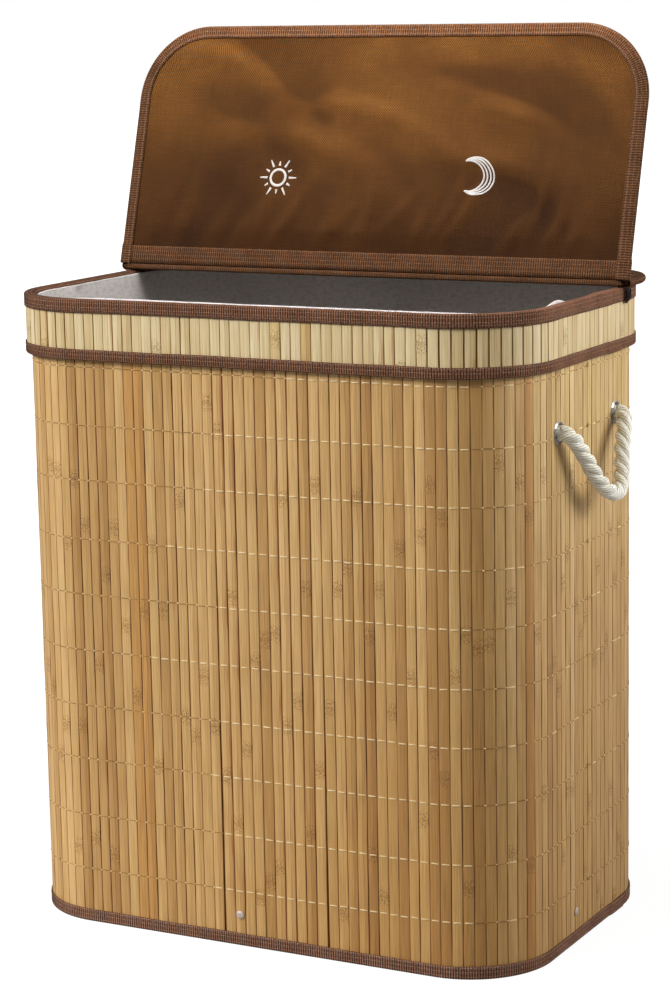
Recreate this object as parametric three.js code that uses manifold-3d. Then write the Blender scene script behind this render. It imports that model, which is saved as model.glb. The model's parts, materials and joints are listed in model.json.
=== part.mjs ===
// A laundry hamper with two bins. A curtain of bamboo slats stands round stiff boards on a rounded
// rectangular plan. A cloth liner with a divider hangs in it, a lid turns on a cloth fold behind the rim,
// and a rope handle hangs on each side.
// Millimetres, +Z up, front towards -Y, origin on the floor at the middle of the plan.
import * as THREE from "three";
import { mergeVertices } from "three/addons/utils/BufferGeometryUtils.js";
import Module from "manifold-3d";

const wasm = await Module();
wasm.setup();

// Overall sizes
const bodyWidth = 525; // left to right, over the slats
const bodyDepth = 335; // front to back, over the slats
const bodyHeight = 600; // floor to the top of the rim
const cornerRadius = 80; // upright corners, at the slats' face
const collarHeight = 56.9; // from its lower edge to the rim
const rearPanelDepth = 102.8; // from the back of the collar to the line that the lid turns on
const lidOverhang = 5.7; // past the collar at both sides
const lidLip = 1.7; // past the collar in front, when the lid is shut
const lidCornerRadius = 74;
const lidOpening = 106.3; // degrees from shut to open
const eyeletSetBack = 101; // from the front and the back of the body to a side's eyelets
const eyeletDrop = 58.1; // from the collar's lower edge to the eyelets

// Stock that the pieces are cut from
const slatPitch = 10.3;
const slatThickness = 1.8;
const grooveWidth = 0.6; // between two slats, at their faces
const grooveShare = 0.6; // depth of a groove, of the slat's thickness
const collarSlatThickness = 1.4;
const lidSlatThickness = 1.5;
const boardThickness = 2.1;
const collarBoardThickness = 1.6;
const lidBoardThickness = 2.4;
const tapeThickness = 0.8;
const tapeReach = 12.2; // down each side of the edge that it covers
const linerThickness = 1;
const liningThickness = 0.6;
const ropeDiameter = 15;

// Fits
const clearance = 0.3; // between pieces that rest on or in each other
const slatEase = 0.4; // between the slats' face and the tape over them
const overrun = 5; // of a cut past what it cuts
const mergeDistance = 1e-4;

// Facets
const arcSteps = 10; // in a quarter turn of the wall
const edgeSteps = 2; // across a panel's rounded edge
const roundSteps = 12; // round a turned piece
const ropeSides = 8;

const halfWidth = bodyWidth / 2;
const halfDepth = bodyDepth / 2;

const finish = (color, roughness, metalness = 0) =>
  new THREE.MeshStandardMaterial({ color, roughness, metalness, flatShading: true });
const bamboo = finish("#c79c62", 0.55);
const paleBamboo = finish("#e3cd9a", 0.55);
const fibreboard = finish("#b79f7c", 0.85);
const brownTape = finish("#684430", 0.9);
const brownCloth = finish("#6d4325", 0.9);
const paleCloth = finish("#e4e1dc", 0.95);
const hookTape = finish("#f2f2f0", 0.95);
const cotton = finish("#d9cdb6", 0.95);
const steel = finish("#b9bbbd", 0.35, 1);

const hamper = new THREE.Group();

// Adds a named piece to a group, and returns it.
function add(name, geometry, material, parent = hamper) {
  const piece = new THREE.Mesh(geometry, material);
  piece.name = name;
  parent.add(piece);
  return piece;
}

// Booleans
function solidOf(geometry) {
  const bare = geometry.clone();
  bare.deleteAttribute("normal");
  bare.deleteAttribute("uv");
  const merged = mergeVertices(bare, mergeDistance);
  return new wasm.Manifold(
    new wasm.Mesh({
      numProp: 3,
      vertProperties: merged.attributes.position.array,
      triVerts: new Uint32Array(merged.index.array),
    }),
  );
}

function geometryOf(solid) {
  const mesh = solid.getMesh();
  return new THREE.BufferGeometry()
    .setAttribute("position", new THREE.BufferAttribute(mesh.vertProperties, 3))
    .setIndex(new THREE.BufferAttribute(mesh.triVerts, 1));
}

function cut(geometry, ...tools) {
  return geometryOf(tools.reduce((solid, tool) => solid.subtract(solidOf(tool)), solidOf(geometry)));
}

function join(geometry, ...others) {
  return geometryOf(others.reduce((solid, other) => solid.add(solidOf(other)), solidOf(geometry)));
}

function common(geometry, other) {
  return geometryOf(solidOf(geometry).intersect(solidOf(other)));
}

// An outline in plan raised between two heights, with its edges rounded where a radius is given.
function raise(shape, bottom, top, rounding = 0, steps = 1) {
  return new THREE.ExtrudeGeometry(shape, {
    depth: top - bottom - 2 * rounding,
    curveSegments: arcSteps / 2,
    bevelEnabled: rounding > 0,
    bevelThickness: rounding,
    bevelSize: rounding,
    bevelOffset: -rounding,
    bevelSegments: steps,
  }).translate(0, 0, bottom + rounding);
}

// A section in Y and Z drawn out along X, centred on X 0.
function drawOut(section, length) {
  const alongX = new THREE.Matrix4().makeBasis(
    new THREE.Vector3(0, 1, 0),
    new THREE.Vector3(0, 0, 1),
    new THREE.Vector3(1, 0, 0),
  );
  return new THREE.ExtrudeGeometry(section, { depth: length, bevelEnabled: false })
    .applyMatrix4(alongX)
    .translate(-length / 2, 0, 0);
}

// A turned piece about +Y, from pairs of radius and height.
function turn(profile, steps = roundSteps) {
  return new THREE.LatheGeometry(
    profile.map(([radius, height]) => new THREE.Vector2(radius, height)),
    steps,
  );
}

// The wall's plan, moved outwards by an offset from the slats' face
function wallOutline(offset) {
  const radius = cornerRadius + offset;
  const x = halfWidth - cornerRadius;
  const y = halfDepth - cornerRadius;
  const outline = new THREE.Shape();
  outline.absarc(x, -y, radius, -Math.PI / 2, 0);
  outline.absarc(x, y, radius, 0, Math.PI / 2);
  outline.absarc(-x, y, radius, Math.PI / 2, Math.PI);
  outline.absarc(-x, -y, radius, Math.PI, Math.PI * 1.5);
  outline.closePath();
  return outline;
}

function wallRing(inner, outer, bottom, top, rounding) {
  const outline = wallOutline(outer);
  outline.holes.push(wallOutline(inner));
  return raise(outline, bottom, top, rounding);
}

// Runs are lengths round the slats' face. They start at the middle of the front and go by the right side.
const flatFront = halfWidth - cornerRadius; // half of the flat front
const flatSide = halfDepth - cornerRadius; // half of a flat side
const cornerRun = (cornerRadius * Math.PI) / 2;
const quarterRun = flatFront + cornerRun + flatSide; // to the middle of the right side
const sideRun = flatFront + cornerRun; // to the start of the flat side

// The point at a run, moved outwards by an offset.
function wallPoint(run, offset) {
  const lap = THREE.MathUtils.euclideanModulo(run, 4 * quarterRun);
  const quarter = Math.min(Math.floor(lap / quarterRun), 3);
  const along = lap - quarter * quarterRun;
  const fromMiddle = quarter % 2 ? quarterRun - along : along; // of the front or the back
  const bend = THREE.MathUtils.clamp((fromMiddle - flatFront) / cornerRun, 0, 1) * (Math.PI / 2);
  const radius = cornerRadius + offset;
  const x = Math.min(fromMiddle, flatFront) + radius * Math.sin(bend);
  const y = flatSide + radius * Math.cos(bend) - Math.max(fromMiddle - sideRun, 0);
  return new THREE.Vector2(quarter < 2 ? x : -x, quarter === 0 || quarter === 3 ? -y : y);
}

// The runs at which the wall's facets meet, over the lap before and the lap after the middle of the front.
const facetRuns = [];
for (let quarter = -4; quarter < 4; quarter++) {
  for (let step = 0; step <= arcSteps; step++) {
    const fromMiddle = flatFront + (cornerRun * step) / arcSteps;
    const odd = quarter % 2 !== 0;
    facetRuns.push(odd ? (quarter + 1) * quarterRun - fromMiddle : quarter * quarterRun + fromMiddle);
  }
}
facetRuns.sort((a, b) => a - b);

function wallLine(start, end, offset) {
  const between = facetRuns.filter((run) => run > start + clearance && run < end - clearance);
  return [start, ...between, end].map((run) => wallPoint(run, offset));
}

// A stretch of the wall in plan, from one run to another.
function wallStrip(start, end, inner, outer) {
  return new THREE.Shape([...wallLine(start, end, outer), ...wallLine(start, end, inner).reverse()]);
}

// A row of slats between two runs: flat faces with a groove between each two.
function slatLine(start, end, face, thickness) {
  const count = Math.max(Math.round((end - start) / slatPitch), 1);
  const pitch = (end - start) / count;
  const groove = face - grooveShare * thickness;
  const points = [];
  for (let slat = 0; slat < count; slat++) {
    const left = start + slat * pitch;
    const right = left + pitch;
    points.push(wallPoint(left, groove));
    points.push(wallPoint(left + grooveWidth / 2, face), wallPoint(right - grooveWidth / 2, face));
  }
  return points;
}

// Layers of the wall, as offsets from the slats' face
const boardFace = -slatThickness - clearance;
const boardBack = boardFace - boardThickness;
const legFace = boardBack - clearance; // of the tape's inner leg
const legBack = legFace - tapeThickness;
const collarTapeFace = slatEase;
const collarBoardBack = collarTapeFace + tapeThickness + clearance;
const collarBoardFace = collarBoardBack + collarBoardThickness;
const collarSlatFace = collarBoardFace + clearance + collarSlatThickness;
const collarFace = collarSlatFace + clearance + tapeThickness;
const footFace = slatEase + tapeThickness;

// Heights of the wall
const wallFoot = tapeThickness + clearance;
const collarFoot = bodyHeight - collarHeight;
const underRim = bodyHeight - tapeThickness - clearance;
const hoopHeight = 4;
const wallTop = underRim - hoopHeight - clearance;

// Places on the wall's faces. Each group's +Y points straight out of the wall, and its origin is on the
// slats' face, at a height and at a place to the right of the middle or behind it.
const faceTurns = { back: 0, left: Math.PI / 2, front: Math.PI, right: -Math.PI / 2 };
function onFace(face, place, height) {
  const spot = new THREE.Group();
  const way = face === "right" || face === "back" ? 1 : -1;
  if (face === "front" || face === "back") spot.position.set(place, way * halfDepth, height);
  else spot.position.set(way * halfWidth, place, height);
  spot.rotation.z = faceTurns[face];
  hamper.add(spot);
  spot.updateMatrixWorld();
  return spot;
}

// Eyelets: four, two on each side. A turned barrel with a flange, its end rolled over a washer inside.
const eyeletBore = 16;
const eyeletWall = 0.8;
const eyeletFlange = 22.5; // diameter
const eyeletFlangeThickness = 1.2;
const eyeletLip = 20.6; // diameter of the rolled end
const eyeletLipThickness = 0.8;
const washerThickness = 0.8;
const eyeletBarrel = eyeletBore + 2 * eyeletWall;
const eyeletPlace = halfDepth - eyeletSetBack; // from the middle of a side
const eyeletHeight = collarFoot - eyeletDrop;
const eyelets = ["front", "rear"].flatMap((row) =>
  ["right", "left"].map((side) => ({
    name: side + "_" + row,
    spot: onFace(side, row === "front" ? -eyeletPlace : eyeletPlace, eyeletHeight),
  })),
);

// Rivets: four, low in the middle of each wall. Each holds a strap of the floor board.
const rivetHeight = 30;
const frontRivetPlace = -16.6;
const sideRivetPlace = -28.8;
const rivetHead = 8; // diameter
const rivetHeadThickness = 1.2;
const rivetShank = 3.8;
const rivets = [
  { name: "front", spot: onFace("front", frontRivetPlace, rivetHeight) },
  { name: "right", spot: onFace("right", sideRivetPlace, rivetHeight) },
  { name: "back", spot: onFace("back", -frontRivetPlace, rivetHeight) },
  { name: "left", spot: onFace("left", -sideRivetPlace, rivetHeight) },
];

// Bores through the slats and boards for the eyelets and rivets
function bore(spot, diameter, inner, outer) {
  const radius = diameter / 2 + clearance;
  return new THREE.CylinderGeometry(radius, radius, outer - inner, roundSteps)
    .translate(0, (outer + inner) / 2, 0)
    .applyMatrix4(spot.matrixWorld);
}
const wallBores = [
  ...eyelets.map(({ spot }) => bore(spot, eyeletBarrel, boardBack - overrun, overrun)),
  ...rivets.map(({ spot }) => bore(spot, rivetShank, boardBack - overrun, overrun)),
];

// Boards behind the slats: one in each flat and one in each corner
const wall = new THREE.Group();
hamper.add(wall);
const boardRuns = {
  front_board: [-flatFront, flatFront],
  front_right_corner_board: [flatFront, sideRun],
  right_board: [sideRun, 2 * quarterRun - sideRun],
  back_right_corner_board: [2 * quarterRun - sideRun, 2 * quarterRun - flatFront],
  back_board: [2 * quarterRun - flatFront, 2 * quarterRun + flatFront],
  back_left_corner_board: [-2 * quarterRun + flatFront, -2 * quarterRun + sideRun],
  left_board: [-2 * quarterRun + sideRun, -sideRun],
  front_left_corner_board: [-sideRun, -flatFront],
};
for (const [name, [start, end]] of Object.entries(boardRuns)) {
  const strip = wallStrip(start + clearance / 2, end - clearance / 2, boardBack, boardFace);
  add(name, cut(raise(strip, wallFoot, wallTop), ...wallBores), fibreboard, wall);
}

// Slat curtain: it parts at two folds in the front and at a seam in the middle of each side.
const leftFold = -33;
const rightFold = 76;
const foldGap = 1.4;
const slatRuns = {
  front_left_slats: [-quarterRun, leftFold - foldGap / 2],
  front_centre_slats: [leftFold + foldGap / 2, rightFold - foldGap / 2],
  front_right_slats: [rightFold + foldGap / 2, quarterRun],
  back_slats: [quarterRun, 3 * quarterRun],
};
for (const [name, [start, end]] of Object.entries(slatRuns)) {
  const first = start + grooveWidth / 2;
  const last = end - grooveWidth / 2;
  const [, ...faces] = slatLine(first, last, 0, slatThickness);
  const strip = new THREE.Shape([...faces, ...wallLine(first, last, -slatThickness).reverse()]);
  add(name, cut(raise(strip, wallFoot, wallTop), ...wallBores), bamboo, wall);
}

// Tape folded over an edge of the wall: a U in section, closed at the edge, with a leg down each side.
// A negative reach hangs below the edge.
const tapeRounding = 1;
function foldedTape(inner, outer, edge, reach) {
  const down = reach < 0;
  const leg = edge + reach;
  const past = leg + (down ? -overrun : overrun);
  const inside = edge + (down ? -tapeThickness : tapeThickness);
  const between = (a, b) => [Math.min(a, b), Math.max(a, b)];
  return cut(
    wallRing(inner, outer, ...between(edge, past), tapeRounding),
    wallRing(inner + tapeThickness, outer - tapeThickness, ...between(inside, past + reach)),
    wallRing(inner - overrun, outer + overrun, ...between(leg, past + reach)),
  );
}
add("foot_tape", foldedTape(legBack, footFace, 0, tapeReach), brownTape, wall);
add("rim_tape", foldedTape(legBack, collarFace, bodyHeight, -tapeReach), brownTape, wall);

// Steel hoop in the rim tape, on top of the slats and boards
const hoopWidth = 3;
const hoopRing = [boardFace - hoopWidth / 2, boardFace + hoopWidth / 2];
add("rim_hoop", wallRing(...hoopRing, underRim - hoopHeight, underRim), steel, wall);

// Collar: a band of paler slats on a board, with its own tape along its lower edge
const collar = new THREE.Group();
hamper.add(collar);
const collarTapeReach = 10.6;
add("collar_tape", foldedTape(collarTapeFace, collarFace, collarFoot, collarTapeReach), brownTape, collar);
const collarBottom = collarFoot + tapeThickness + clearance;
add("collar_board", wallRing(collarBoardBack, collarBoardFace, collarBottom, underRim), fibreboard, collar);
const collarSlats = new THREE.Shape(slatLine(0, 4 * quarterRun, collarSlatFace, collarSlatThickness));
collarSlats.holes.push(wallOutline(collarBoardFace + clearance));
add("collar_slats", raise(collarSlats, collarBottom, underRim), paleBamboo, collar);

// Floor board on four straps. Each strap is bent to an L, riveted to its wall and turned under the board.
const strapThickness = 0.9;
const strapWidth = 30;
const strapLength = 45; // under the board
const strapLift = 1.8; // above the floor
const strapTail = 12; // above the rivet
const floorBoardThickness = 3;
const strapBack = legBack - clearance - strapThickness;
const floorBoardBottom = strapLift + strapThickness + clearance;
const floorBoardTop = floorBoardBottom + floorBoardThickness;
const base = new THREE.Group();
hamper.add(base);
const floorOutline = wallOutline(strapBack - clearance);
add("floor_board", raise(floorOutline, floorBoardBottom, floorBoardTop), fibreboard, base);

const strapOutline = new THREE.Shape([
  new THREE.Vector2(strapBack + strapThickness, strapLift - rivetHeight),
  new THREE.Vector2(strapBack + strapThickness, strapTail),
  new THREE.Vector2(strapBack, strapTail),
  new THREE.Vector2(strapBack, strapLift + strapThickness - rivetHeight),
  new THREE.Vector2(strapBack - strapLength, strapLift + strapThickness - rivetHeight),
  new THREE.Vector2(strapBack - strapLength, strapLift - rivetHeight),
]);
const rivetBack = strapBack - clearance;
const rivetCrown = rivetHeadThickness + clearance;
const rivetEdge = 0.5; // height of the head's rim
const rivetTail = 0.8; // thickness of the upset end
const rivetProfile = [
  [0, rivetBack - rivetTail],
  [rivetHead / 2, rivetBack - rivetTail],
  [rivetHead / 2, rivetBack],
  [rivetShank / 2, rivetBack],
  [rivetShank / 2, clearance],
  [rivetHead / 2, clearance],
  [rivetHead / 2, clearance + rivetEdge],
  [rivetHead / 4, rivetCrown],
  [0, rivetCrown],
];
for (const { name, spot } of rivets) {
  const bored = new THREE.CylinderGeometry(
    rivetShank / 2 + clearance,
    rivetShank / 2 + clearance,
    2 * overrun,
    roundSteps,
  ).translate(0, strapBack, 0);
  add(name + "_strap", cut(drawOut(strapOutline, strapWidth), bored), steel, spot);
  add(name + "_rivet", turn(rivetProfile), steel, spot);
}

// Rope handles. The rope's ends pass through the eyelets and are knotted inside. The loop between them
// swings about a line a little way out from the wall, where the rope bends.
const swingOut = 10; // from the slats' face to the line that the loop swings about
const knotDiameter = 26;
const knotLength = 20;
const ropeTail = 6; // past the knot
const ropeRadius = ropeDiameter / 2;
const lipBack = legFace - washerThickness - clearance - eyeletLipThickness;
const knotFace = lipBack - clearance;
const knotRadius = knotDiameter / 2;
const knotEnd = knotFace - knotLength;
const knotShoulderShare = 0.72;
const tailShare = 0.85; // of the rope's radius, where the tail is bound
const endSteps = 3;
const ropeEnd = Array.from({ length: endSteps }, (_, step) => {
  const angle = ((step + 1) / endSteps) * (Math.PI / 2);
  return [ropeRadius * Math.cos(angle), swingOut + ropeRadius * Math.sin(angle)];
});
ropeEnd[endSteps - 1][0] = 0;
const knotProfile = [
  [0, knotEnd - ropeTail],
  [ropeRadius * tailShare, knotEnd - ropeTail],
  [ropeRadius * tailShare, knotEnd],
  [knotRadius * knotShoulderShare, knotEnd],
  [knotRadius, knotEnd + knotLength / 4],
  [knotRadius, knotFace - knotLength / 4],
  [knotRadius * knotShoulderShare, knotFace],
  [ropeRadius, knotFace],
  [ropeRadius, swingOut],
  ...ropeEnd,
];
const eyeletProfile = [
  [eyeletBore / 2, lipBack],
  [eyeletLip / 2, lipBack],
  [eyeletLip / 2, lipBack + eyeletLipThickness],
  [eyeletBarrel / 2, lipBack + eyeletLipThickness],
  [eyeletBarrel / 2, clearance],
  [eyeletFlange / 2, clearance],
  [(eyeletFlange + eyeletBarrel) / 4, clearance + eyeletFlangeThickness],
  [eyeletBore / 2, clearance + eyeletFlangeThickness / 2],
  [eyeletBore / 2, lipBack],
];
const washerProfile = [
  [eyeletBarrel / 2 + clearance, legFace - washerThickness],
  [eyeletFlange / 2, legFace - washerThickness],
  [eyeletFlange / 2, legFace],
  [eyeletBarrel / 2 + clearance, legFace],
  [eyeletBarrel / 2 + clearance, legFace - washerThickness],
];
for (const { name, spot } of eyelets) {
  add(name + "_eyelet", turn(eyeletProfile), steel, spot);
  add(name + "_washer", turn(washerProfile), steel, spot);
  add(name + "_rope_end", turn(knotProfile, ropeSides), cotton, spot);
}

// The loop's route from the front eyelet to the middle: out from the wall, from the middle as a share of
// the eyelet's place, and below the eyelet
const loopRoute = [
  [11.6, 0.917, 5.3],
  [14, 0.797, 13.8],
  [17.6, 0.617, 29.4],
  [21.4, 0.466, 44],
  [25.2, 0.301, 55],
  [27.6, 0.15, 61],
  [28.2, 0, 62.6],
].map(([out, share, drop]) => [out, -share * eyeletPlace, eyeletHeight - drop]);
const loopSteps = 24;
const mirrored = loopRoute.slice(0, -1).reverse().map(([out, along, height]) => [out, -along, height]);
const loopCurve = new THREE.CatmullRomCurve3(
  [...loopRoute, ...mirrored].map(([out, along, height]) => new THREE.Vector3(out, along, height)),
);
const ropeSection = new THREE.Shape().absarc(0, 0, ropeRadius, 0, 2 * Math.PI);
for (const side of ["right", "left"]) {
  const handle = new THREE.Group();
  handle.position.x = side === "right" ? halfWidth : -halfWidth;
  handle.rotation.z = side === "right" ? 0 : Math.PI;
  hamper.add(handle);
  const loop = new THREE.ExtrudeGeometry(ropeSection, {
    steps: loopSteps,
    curveSegments: ropeSides / 2,
    extrudePath: loopCurve,
  });
  add(side + "_rope_handle", loop, cotton, handle);
}

// Liner: a cloth bag with a hem at the rim, pressed in by the four knots, and a divider across its middle
const linerEase = 1.4; // from the rolled ends of the eyelets
const linerOffset = lipBack - linerEase;
const hemDepth = 12;
const linerDrop = 2; // of the hem below the rim
const linerTop = bodyHeight - linerDrop;
const domeRadius = 22;
const domeDepth = 29;
const hemFace = legBack - clearance;
const linerBack = linerOffset - linerThickness;
const linerBottom = floorBoardTop + clearance;
const linerFloor = linerBottom + linerThickness;
function domes(growth) {
  return eyelets.map(({ spot }) =>
    new THREE.SphereGeometry(1, roundSteps, roundSteps / 2)
      .scale(domeRadius + growth, domeDepth + growth, domeRadius + growth)
      .translate(0, linerOffset, 0)
      .applyMatrix4(spot.matrixWorld),
  );
}
const bagBlock = raise(wallOutline(linerOffset), linerBottom, linerTop);
const bagCloth = cut(bagBlock, raise(wallOutline(linerBack), linerFloor, linerTop + overrun));
const bagDomes = domes(linerThickness).map((dome) => common(dome, bagBlock));
const bagHem = wallRing(linerBack, hemFace, linerTop - hemDepth, linerTop);
const liner = new THREE.Group();
hamper.add(liner);
add("liner_bag", cut(join(bagCloth, ...bagDomes, bagHem), ...domes(0)), paleCloth, liner);

const dividerThickness = 1.5;
const dividerHem = 2.6; // thickness of its doubled top edge
const dividerHemDepth = 12;
const dividerDrop = 45; // of its top edge below the rim
const dividerTop = bodyHeight - dividerDrop;
const dividerBottom = linerFloor + clearance;
const dividerLength = bodyDepth + 2 * (linerBack - clearance);
const dividerSection = new THREE.Shape([
  new THREE.Vector2(-dividerThickness / 2, dividerBottom),
  new THREE.Vector2(dividerThickness / 2, dividerBottom),
  new THREE.Vector2(dividerThickness / 2, dividerTop - dividerHemDepth),
  new THREE.Vector2(dividerHem / 2, dividerTop - dividerHemDepth),
  new THREE.Vector2(dividerHem / 2, dividerTop),
  new THREE.Vector2(-dividerHem / 2, dividerTop),
  new THREE.Vector2(-dividerHem / 2, dividerTop - dividerHemDepth),
  new THREE.Vector2(-dividerThickness / 2, dividerTop - dividerHemDepth),
]);
add("liner_divider", drawOut(dividerSection, dividerLength), paleCloth, liner).rotation.z = Math.PI / 2;

// Hook-and-loop strips that hold the liner to the front and back boards
const hookStripDrop = 20; // of their upper edge below the rim
const hookStripHeight = 20;
const hookStripInset = 12; // from the ends of the flat
const hookStripThickness = legFace - clearance - linerOffset;
for (const face of ["front", "back"]) {
  const spot = onFace(face, 0, bodyHeight - hookStripDrop - hookStripHeight / 2);
  const length = 2 * (flatFront - hookStripInset);
  const strip = new THREE.BoxGeometry(length, hookStripThickness, hookStripHeight);
  strip.translate(0, legFace - hookStripThickness / 2, 0);
  add(face + "_hook_strip", strip, hookTape, spot);
}

// Bound panels: the lid and the fixed panel behind it. Each is a stiff board with a cloth lining under it
// and slats on top, in a tape folded round its edge. A panel reaches along +Y from near to far, with its
// middle at height 0.
const panelThickness =
  2 * tapeThickness + 4 * clearance + liningThickness + lidBoardThickness + lidSlatThickness;
const halfPanel = panelThickness / 2;
const panelHalfWidth = halfWidth + collarFace + lidOverhang;
const panelRounding = halfPanel - tapeThickness / 2;
const pocketInset = panelRounding - tapeThickness;
const liningBottom = clearance + tapeThickness - halfPanel;
const lidBoardBottom = liningBottom + liningThickness + clearance;
const lidSlatBottom = lidBoardBottom + lidBoardThickness + clearance;
const lidSlatTop = lidSlatBottom + lidSlatThickness;
const edgeTapeWidth = 12.5;

function panelOutline(near, far, inset, nearInset = inset) {
  const x = panelHalfWidth - inset;
  const radius = lidCornerRadius - inset;
  const outline = new THREE.Shape();
  outline.moveTo(-x, near + nearInset);
  outline.lineTo(x, near + nearInset);
  outline.absarc(x - radius, far - inset - radius, radius, 0, Math.PI / 2);
  outline.absarc(radius - x, far - inset - radius, radius, Math.PI / 2, Math.PI);
  outline.closePath();
  return outline;
}

function panelTape(near, far, nearWidth) {
  return cut(
    raise(panelOutline(near, far, 0), -halfPanel, halfPanel, panelRounding, edgeSteps),
    raise(panelOutline(near, far, pocketInset), tapeThickness - halfPanel, halfPanel - tapeThickness),
    raise(panelOutline(near, far, edgeTapeWidth, nearWidth), -halfPanel - overrun, halfPanel + overrun),
  );
}

// The slats of a panel lie side by side from its near to its far edge.
function panelSlats(near, far, inset) {
  const count = Math.max(Math.round((far - near - 2 * inset) / slatPitch), 1);
  const pitch = (far - near - 2 * inset) / count;
  const groove = lidSlatTop - grooveShare * lidSlatThickness;
  const section = [near + inset, far - inset].map((y) => new THREE.Vector2(y, lidSlatBottom));
  for (let slat = count - 1; slat >= 0; slat--) {
    const low = near + inset + slat * pitch;
    const high = low + pitch;
    section.push(new THREE.Vector2(high - grooveWidth / 2, lidSlatTop));
    section.push(new THREE.Vector2(low + grooveWidth / 2, lidSlatTop), new THREE.Vector2(low, groove));
  }
  const row = drawOut(new THREE.Shape(section), 2 * panelHalfWidth);
  return common(row, raise(panelOutline(near, far, inset), lidSlatBottom - overrun, lidSlatTop + overrun));
}

function fillPanel(name, near, far, group) {
  const inset = pocketInset + clearance;
  const outline = panelOutline(near, far, inset);
  add(name + "_lining", raise(outline, liningBottom, liningBottom + liningThickness), brownCloth, group);
  const boardTop = lidBoardBottom + lidBoardThickness;
  add(name + "_board", raise(outline, lidBoardBottom, boardTop), fibreboard, group);
  add(name + "_slats", panelSlats(near, far, inset), bamboo, group);
}

// Lid line: the cloth fold that the lid turns on
const hingeGap = 3.2; // from the line to the lid's edge and to the rear panel's edge
const hingeY = halfDepth + collarFace - rearPanelDepth;
const hingeZ = bodyHeight + clearance + halfPanel;
const foldRadius = hingeGap - clearance;
const foldInset = 6; // from the panels' ends
const hinge = new THREE.Group();
hinge.position.set(0, hingeY, hingeZ);
hamper.add(hinge);
const foldLength = 2 * (panelHalfWidth - foldInset);
const fold = new THREE.CylinderGeometry(foldRadius, foldRadius, foldLength, roundSteps);
add("hinge_cloth", fold, brownTape, hinge).rotation.z = Math.PI / 2;

// Rear panel: it lies on the rim behind the lid line.
const rearTapeWidth = 8; // of the tape along its front edge
fillPanel("rear_panel", hingeGap, rearPanelDepth, hinge);
add("rear_panel_tape", panelTape(hingeGap, rearPanelDepth, rearTapeWidth), brownTape, hinge);

// Lid: shut it lies forward over the rim, so it is made along +Y, turned to the front, and then opened.
const lidHem = 17.5; // width of the webbing along its lower edge
const lidLength = hingeY + halfDepth + collarFace + lidLip;
const opened = new THREE.Group();
opened.rotation.x = -THREE.MathUtils.degToRad(lidOpening);
hinge.add(opened);
const lid = new THREE.Group();
lid.rotation.z = Math.PI;
opened.add(lid);
fillPanel("lid", hingeGap, lidLength, lid);
const lidTape = panelTape(hingeGap, lidLength, lidHem);
const acrossWidth = 2 * (panelHalfWidth + overrun);
const acrossHeight = 2 * (halfPanel + overrun);
const acrossLid = (depth) =>
  new THREE.BoxGeometry(acrossWidth, 2 * depth, acrossHeight).translate(0, hingeGap, 0);
add("lid_tape", cut(lidTape, acrossLid(lidHem + clearance)), brownTape, lid);
add("lid_webbing", common(lidTape, acrossLid(lidHem)), brownTape, lid);

// Tacks that tie the ends of the lid line down to the rim
const tackWidth = 8;
const tackLength = 15;
const tackOutline = new THREE.Shape();
tackOutline.moveTo(hingeY + hingeGap + tackWidth, bodyHeight);
tackOutline.lineTo(hingeY + hingeGap, bodyHeight);
tackOutline.absarc(
  hingeY + hingeGap + tackWidth / 2,
  bodyHeight + tackWidth / 2 - tackLength,
  tackWidth / 2,
  Math.PI,
  2 * Math.PI,
);
tackOutline.closePath();
for (const side of ["right", "left"]) {
  const away = halfWidth + collarFace + clearance + tapeThickness / 2;
  const tack = add(side + "_tack", drawOut(tackOutline, tapeThickness), brownTape);
  tack.position.x = side === "right" ? away : -away;
}

export default hamper;
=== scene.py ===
# A laundry hamper with two bins: a curtain of bamboo slats round stiff boards, a cloth liner, a lid on
# a cloth fold and a rope handle on each side. Metres, +Z up, front towards -Y, as in the frame.
import json
import math

import bpy
import numpy as np
from mathutils import Matrix, Vector

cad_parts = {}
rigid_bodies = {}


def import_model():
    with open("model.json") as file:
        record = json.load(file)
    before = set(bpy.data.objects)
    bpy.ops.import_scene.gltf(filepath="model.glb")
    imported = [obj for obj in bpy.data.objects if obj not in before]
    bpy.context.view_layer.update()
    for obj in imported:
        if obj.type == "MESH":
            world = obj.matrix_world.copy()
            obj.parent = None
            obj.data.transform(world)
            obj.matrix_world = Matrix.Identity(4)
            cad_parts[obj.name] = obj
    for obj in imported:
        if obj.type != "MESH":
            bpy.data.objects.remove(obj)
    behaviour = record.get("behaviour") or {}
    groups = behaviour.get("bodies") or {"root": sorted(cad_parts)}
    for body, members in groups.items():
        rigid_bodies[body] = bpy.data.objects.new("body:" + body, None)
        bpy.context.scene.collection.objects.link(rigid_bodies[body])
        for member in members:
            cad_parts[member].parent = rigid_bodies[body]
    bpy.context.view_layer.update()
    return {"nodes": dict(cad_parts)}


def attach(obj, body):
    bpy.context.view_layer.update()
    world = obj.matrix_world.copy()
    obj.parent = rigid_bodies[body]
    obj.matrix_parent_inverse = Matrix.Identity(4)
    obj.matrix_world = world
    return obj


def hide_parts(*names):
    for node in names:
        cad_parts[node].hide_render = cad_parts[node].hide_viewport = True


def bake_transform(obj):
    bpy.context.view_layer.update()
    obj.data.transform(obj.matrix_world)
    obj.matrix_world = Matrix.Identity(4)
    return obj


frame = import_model()
nodes = frame["nodes"]
for left_over in [o for o in bpy.data.objects if o.name in ("Cube", "Light", "Camera")]:
    bpy.data.objects.remove(left_over)
mm = 0.001

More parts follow.
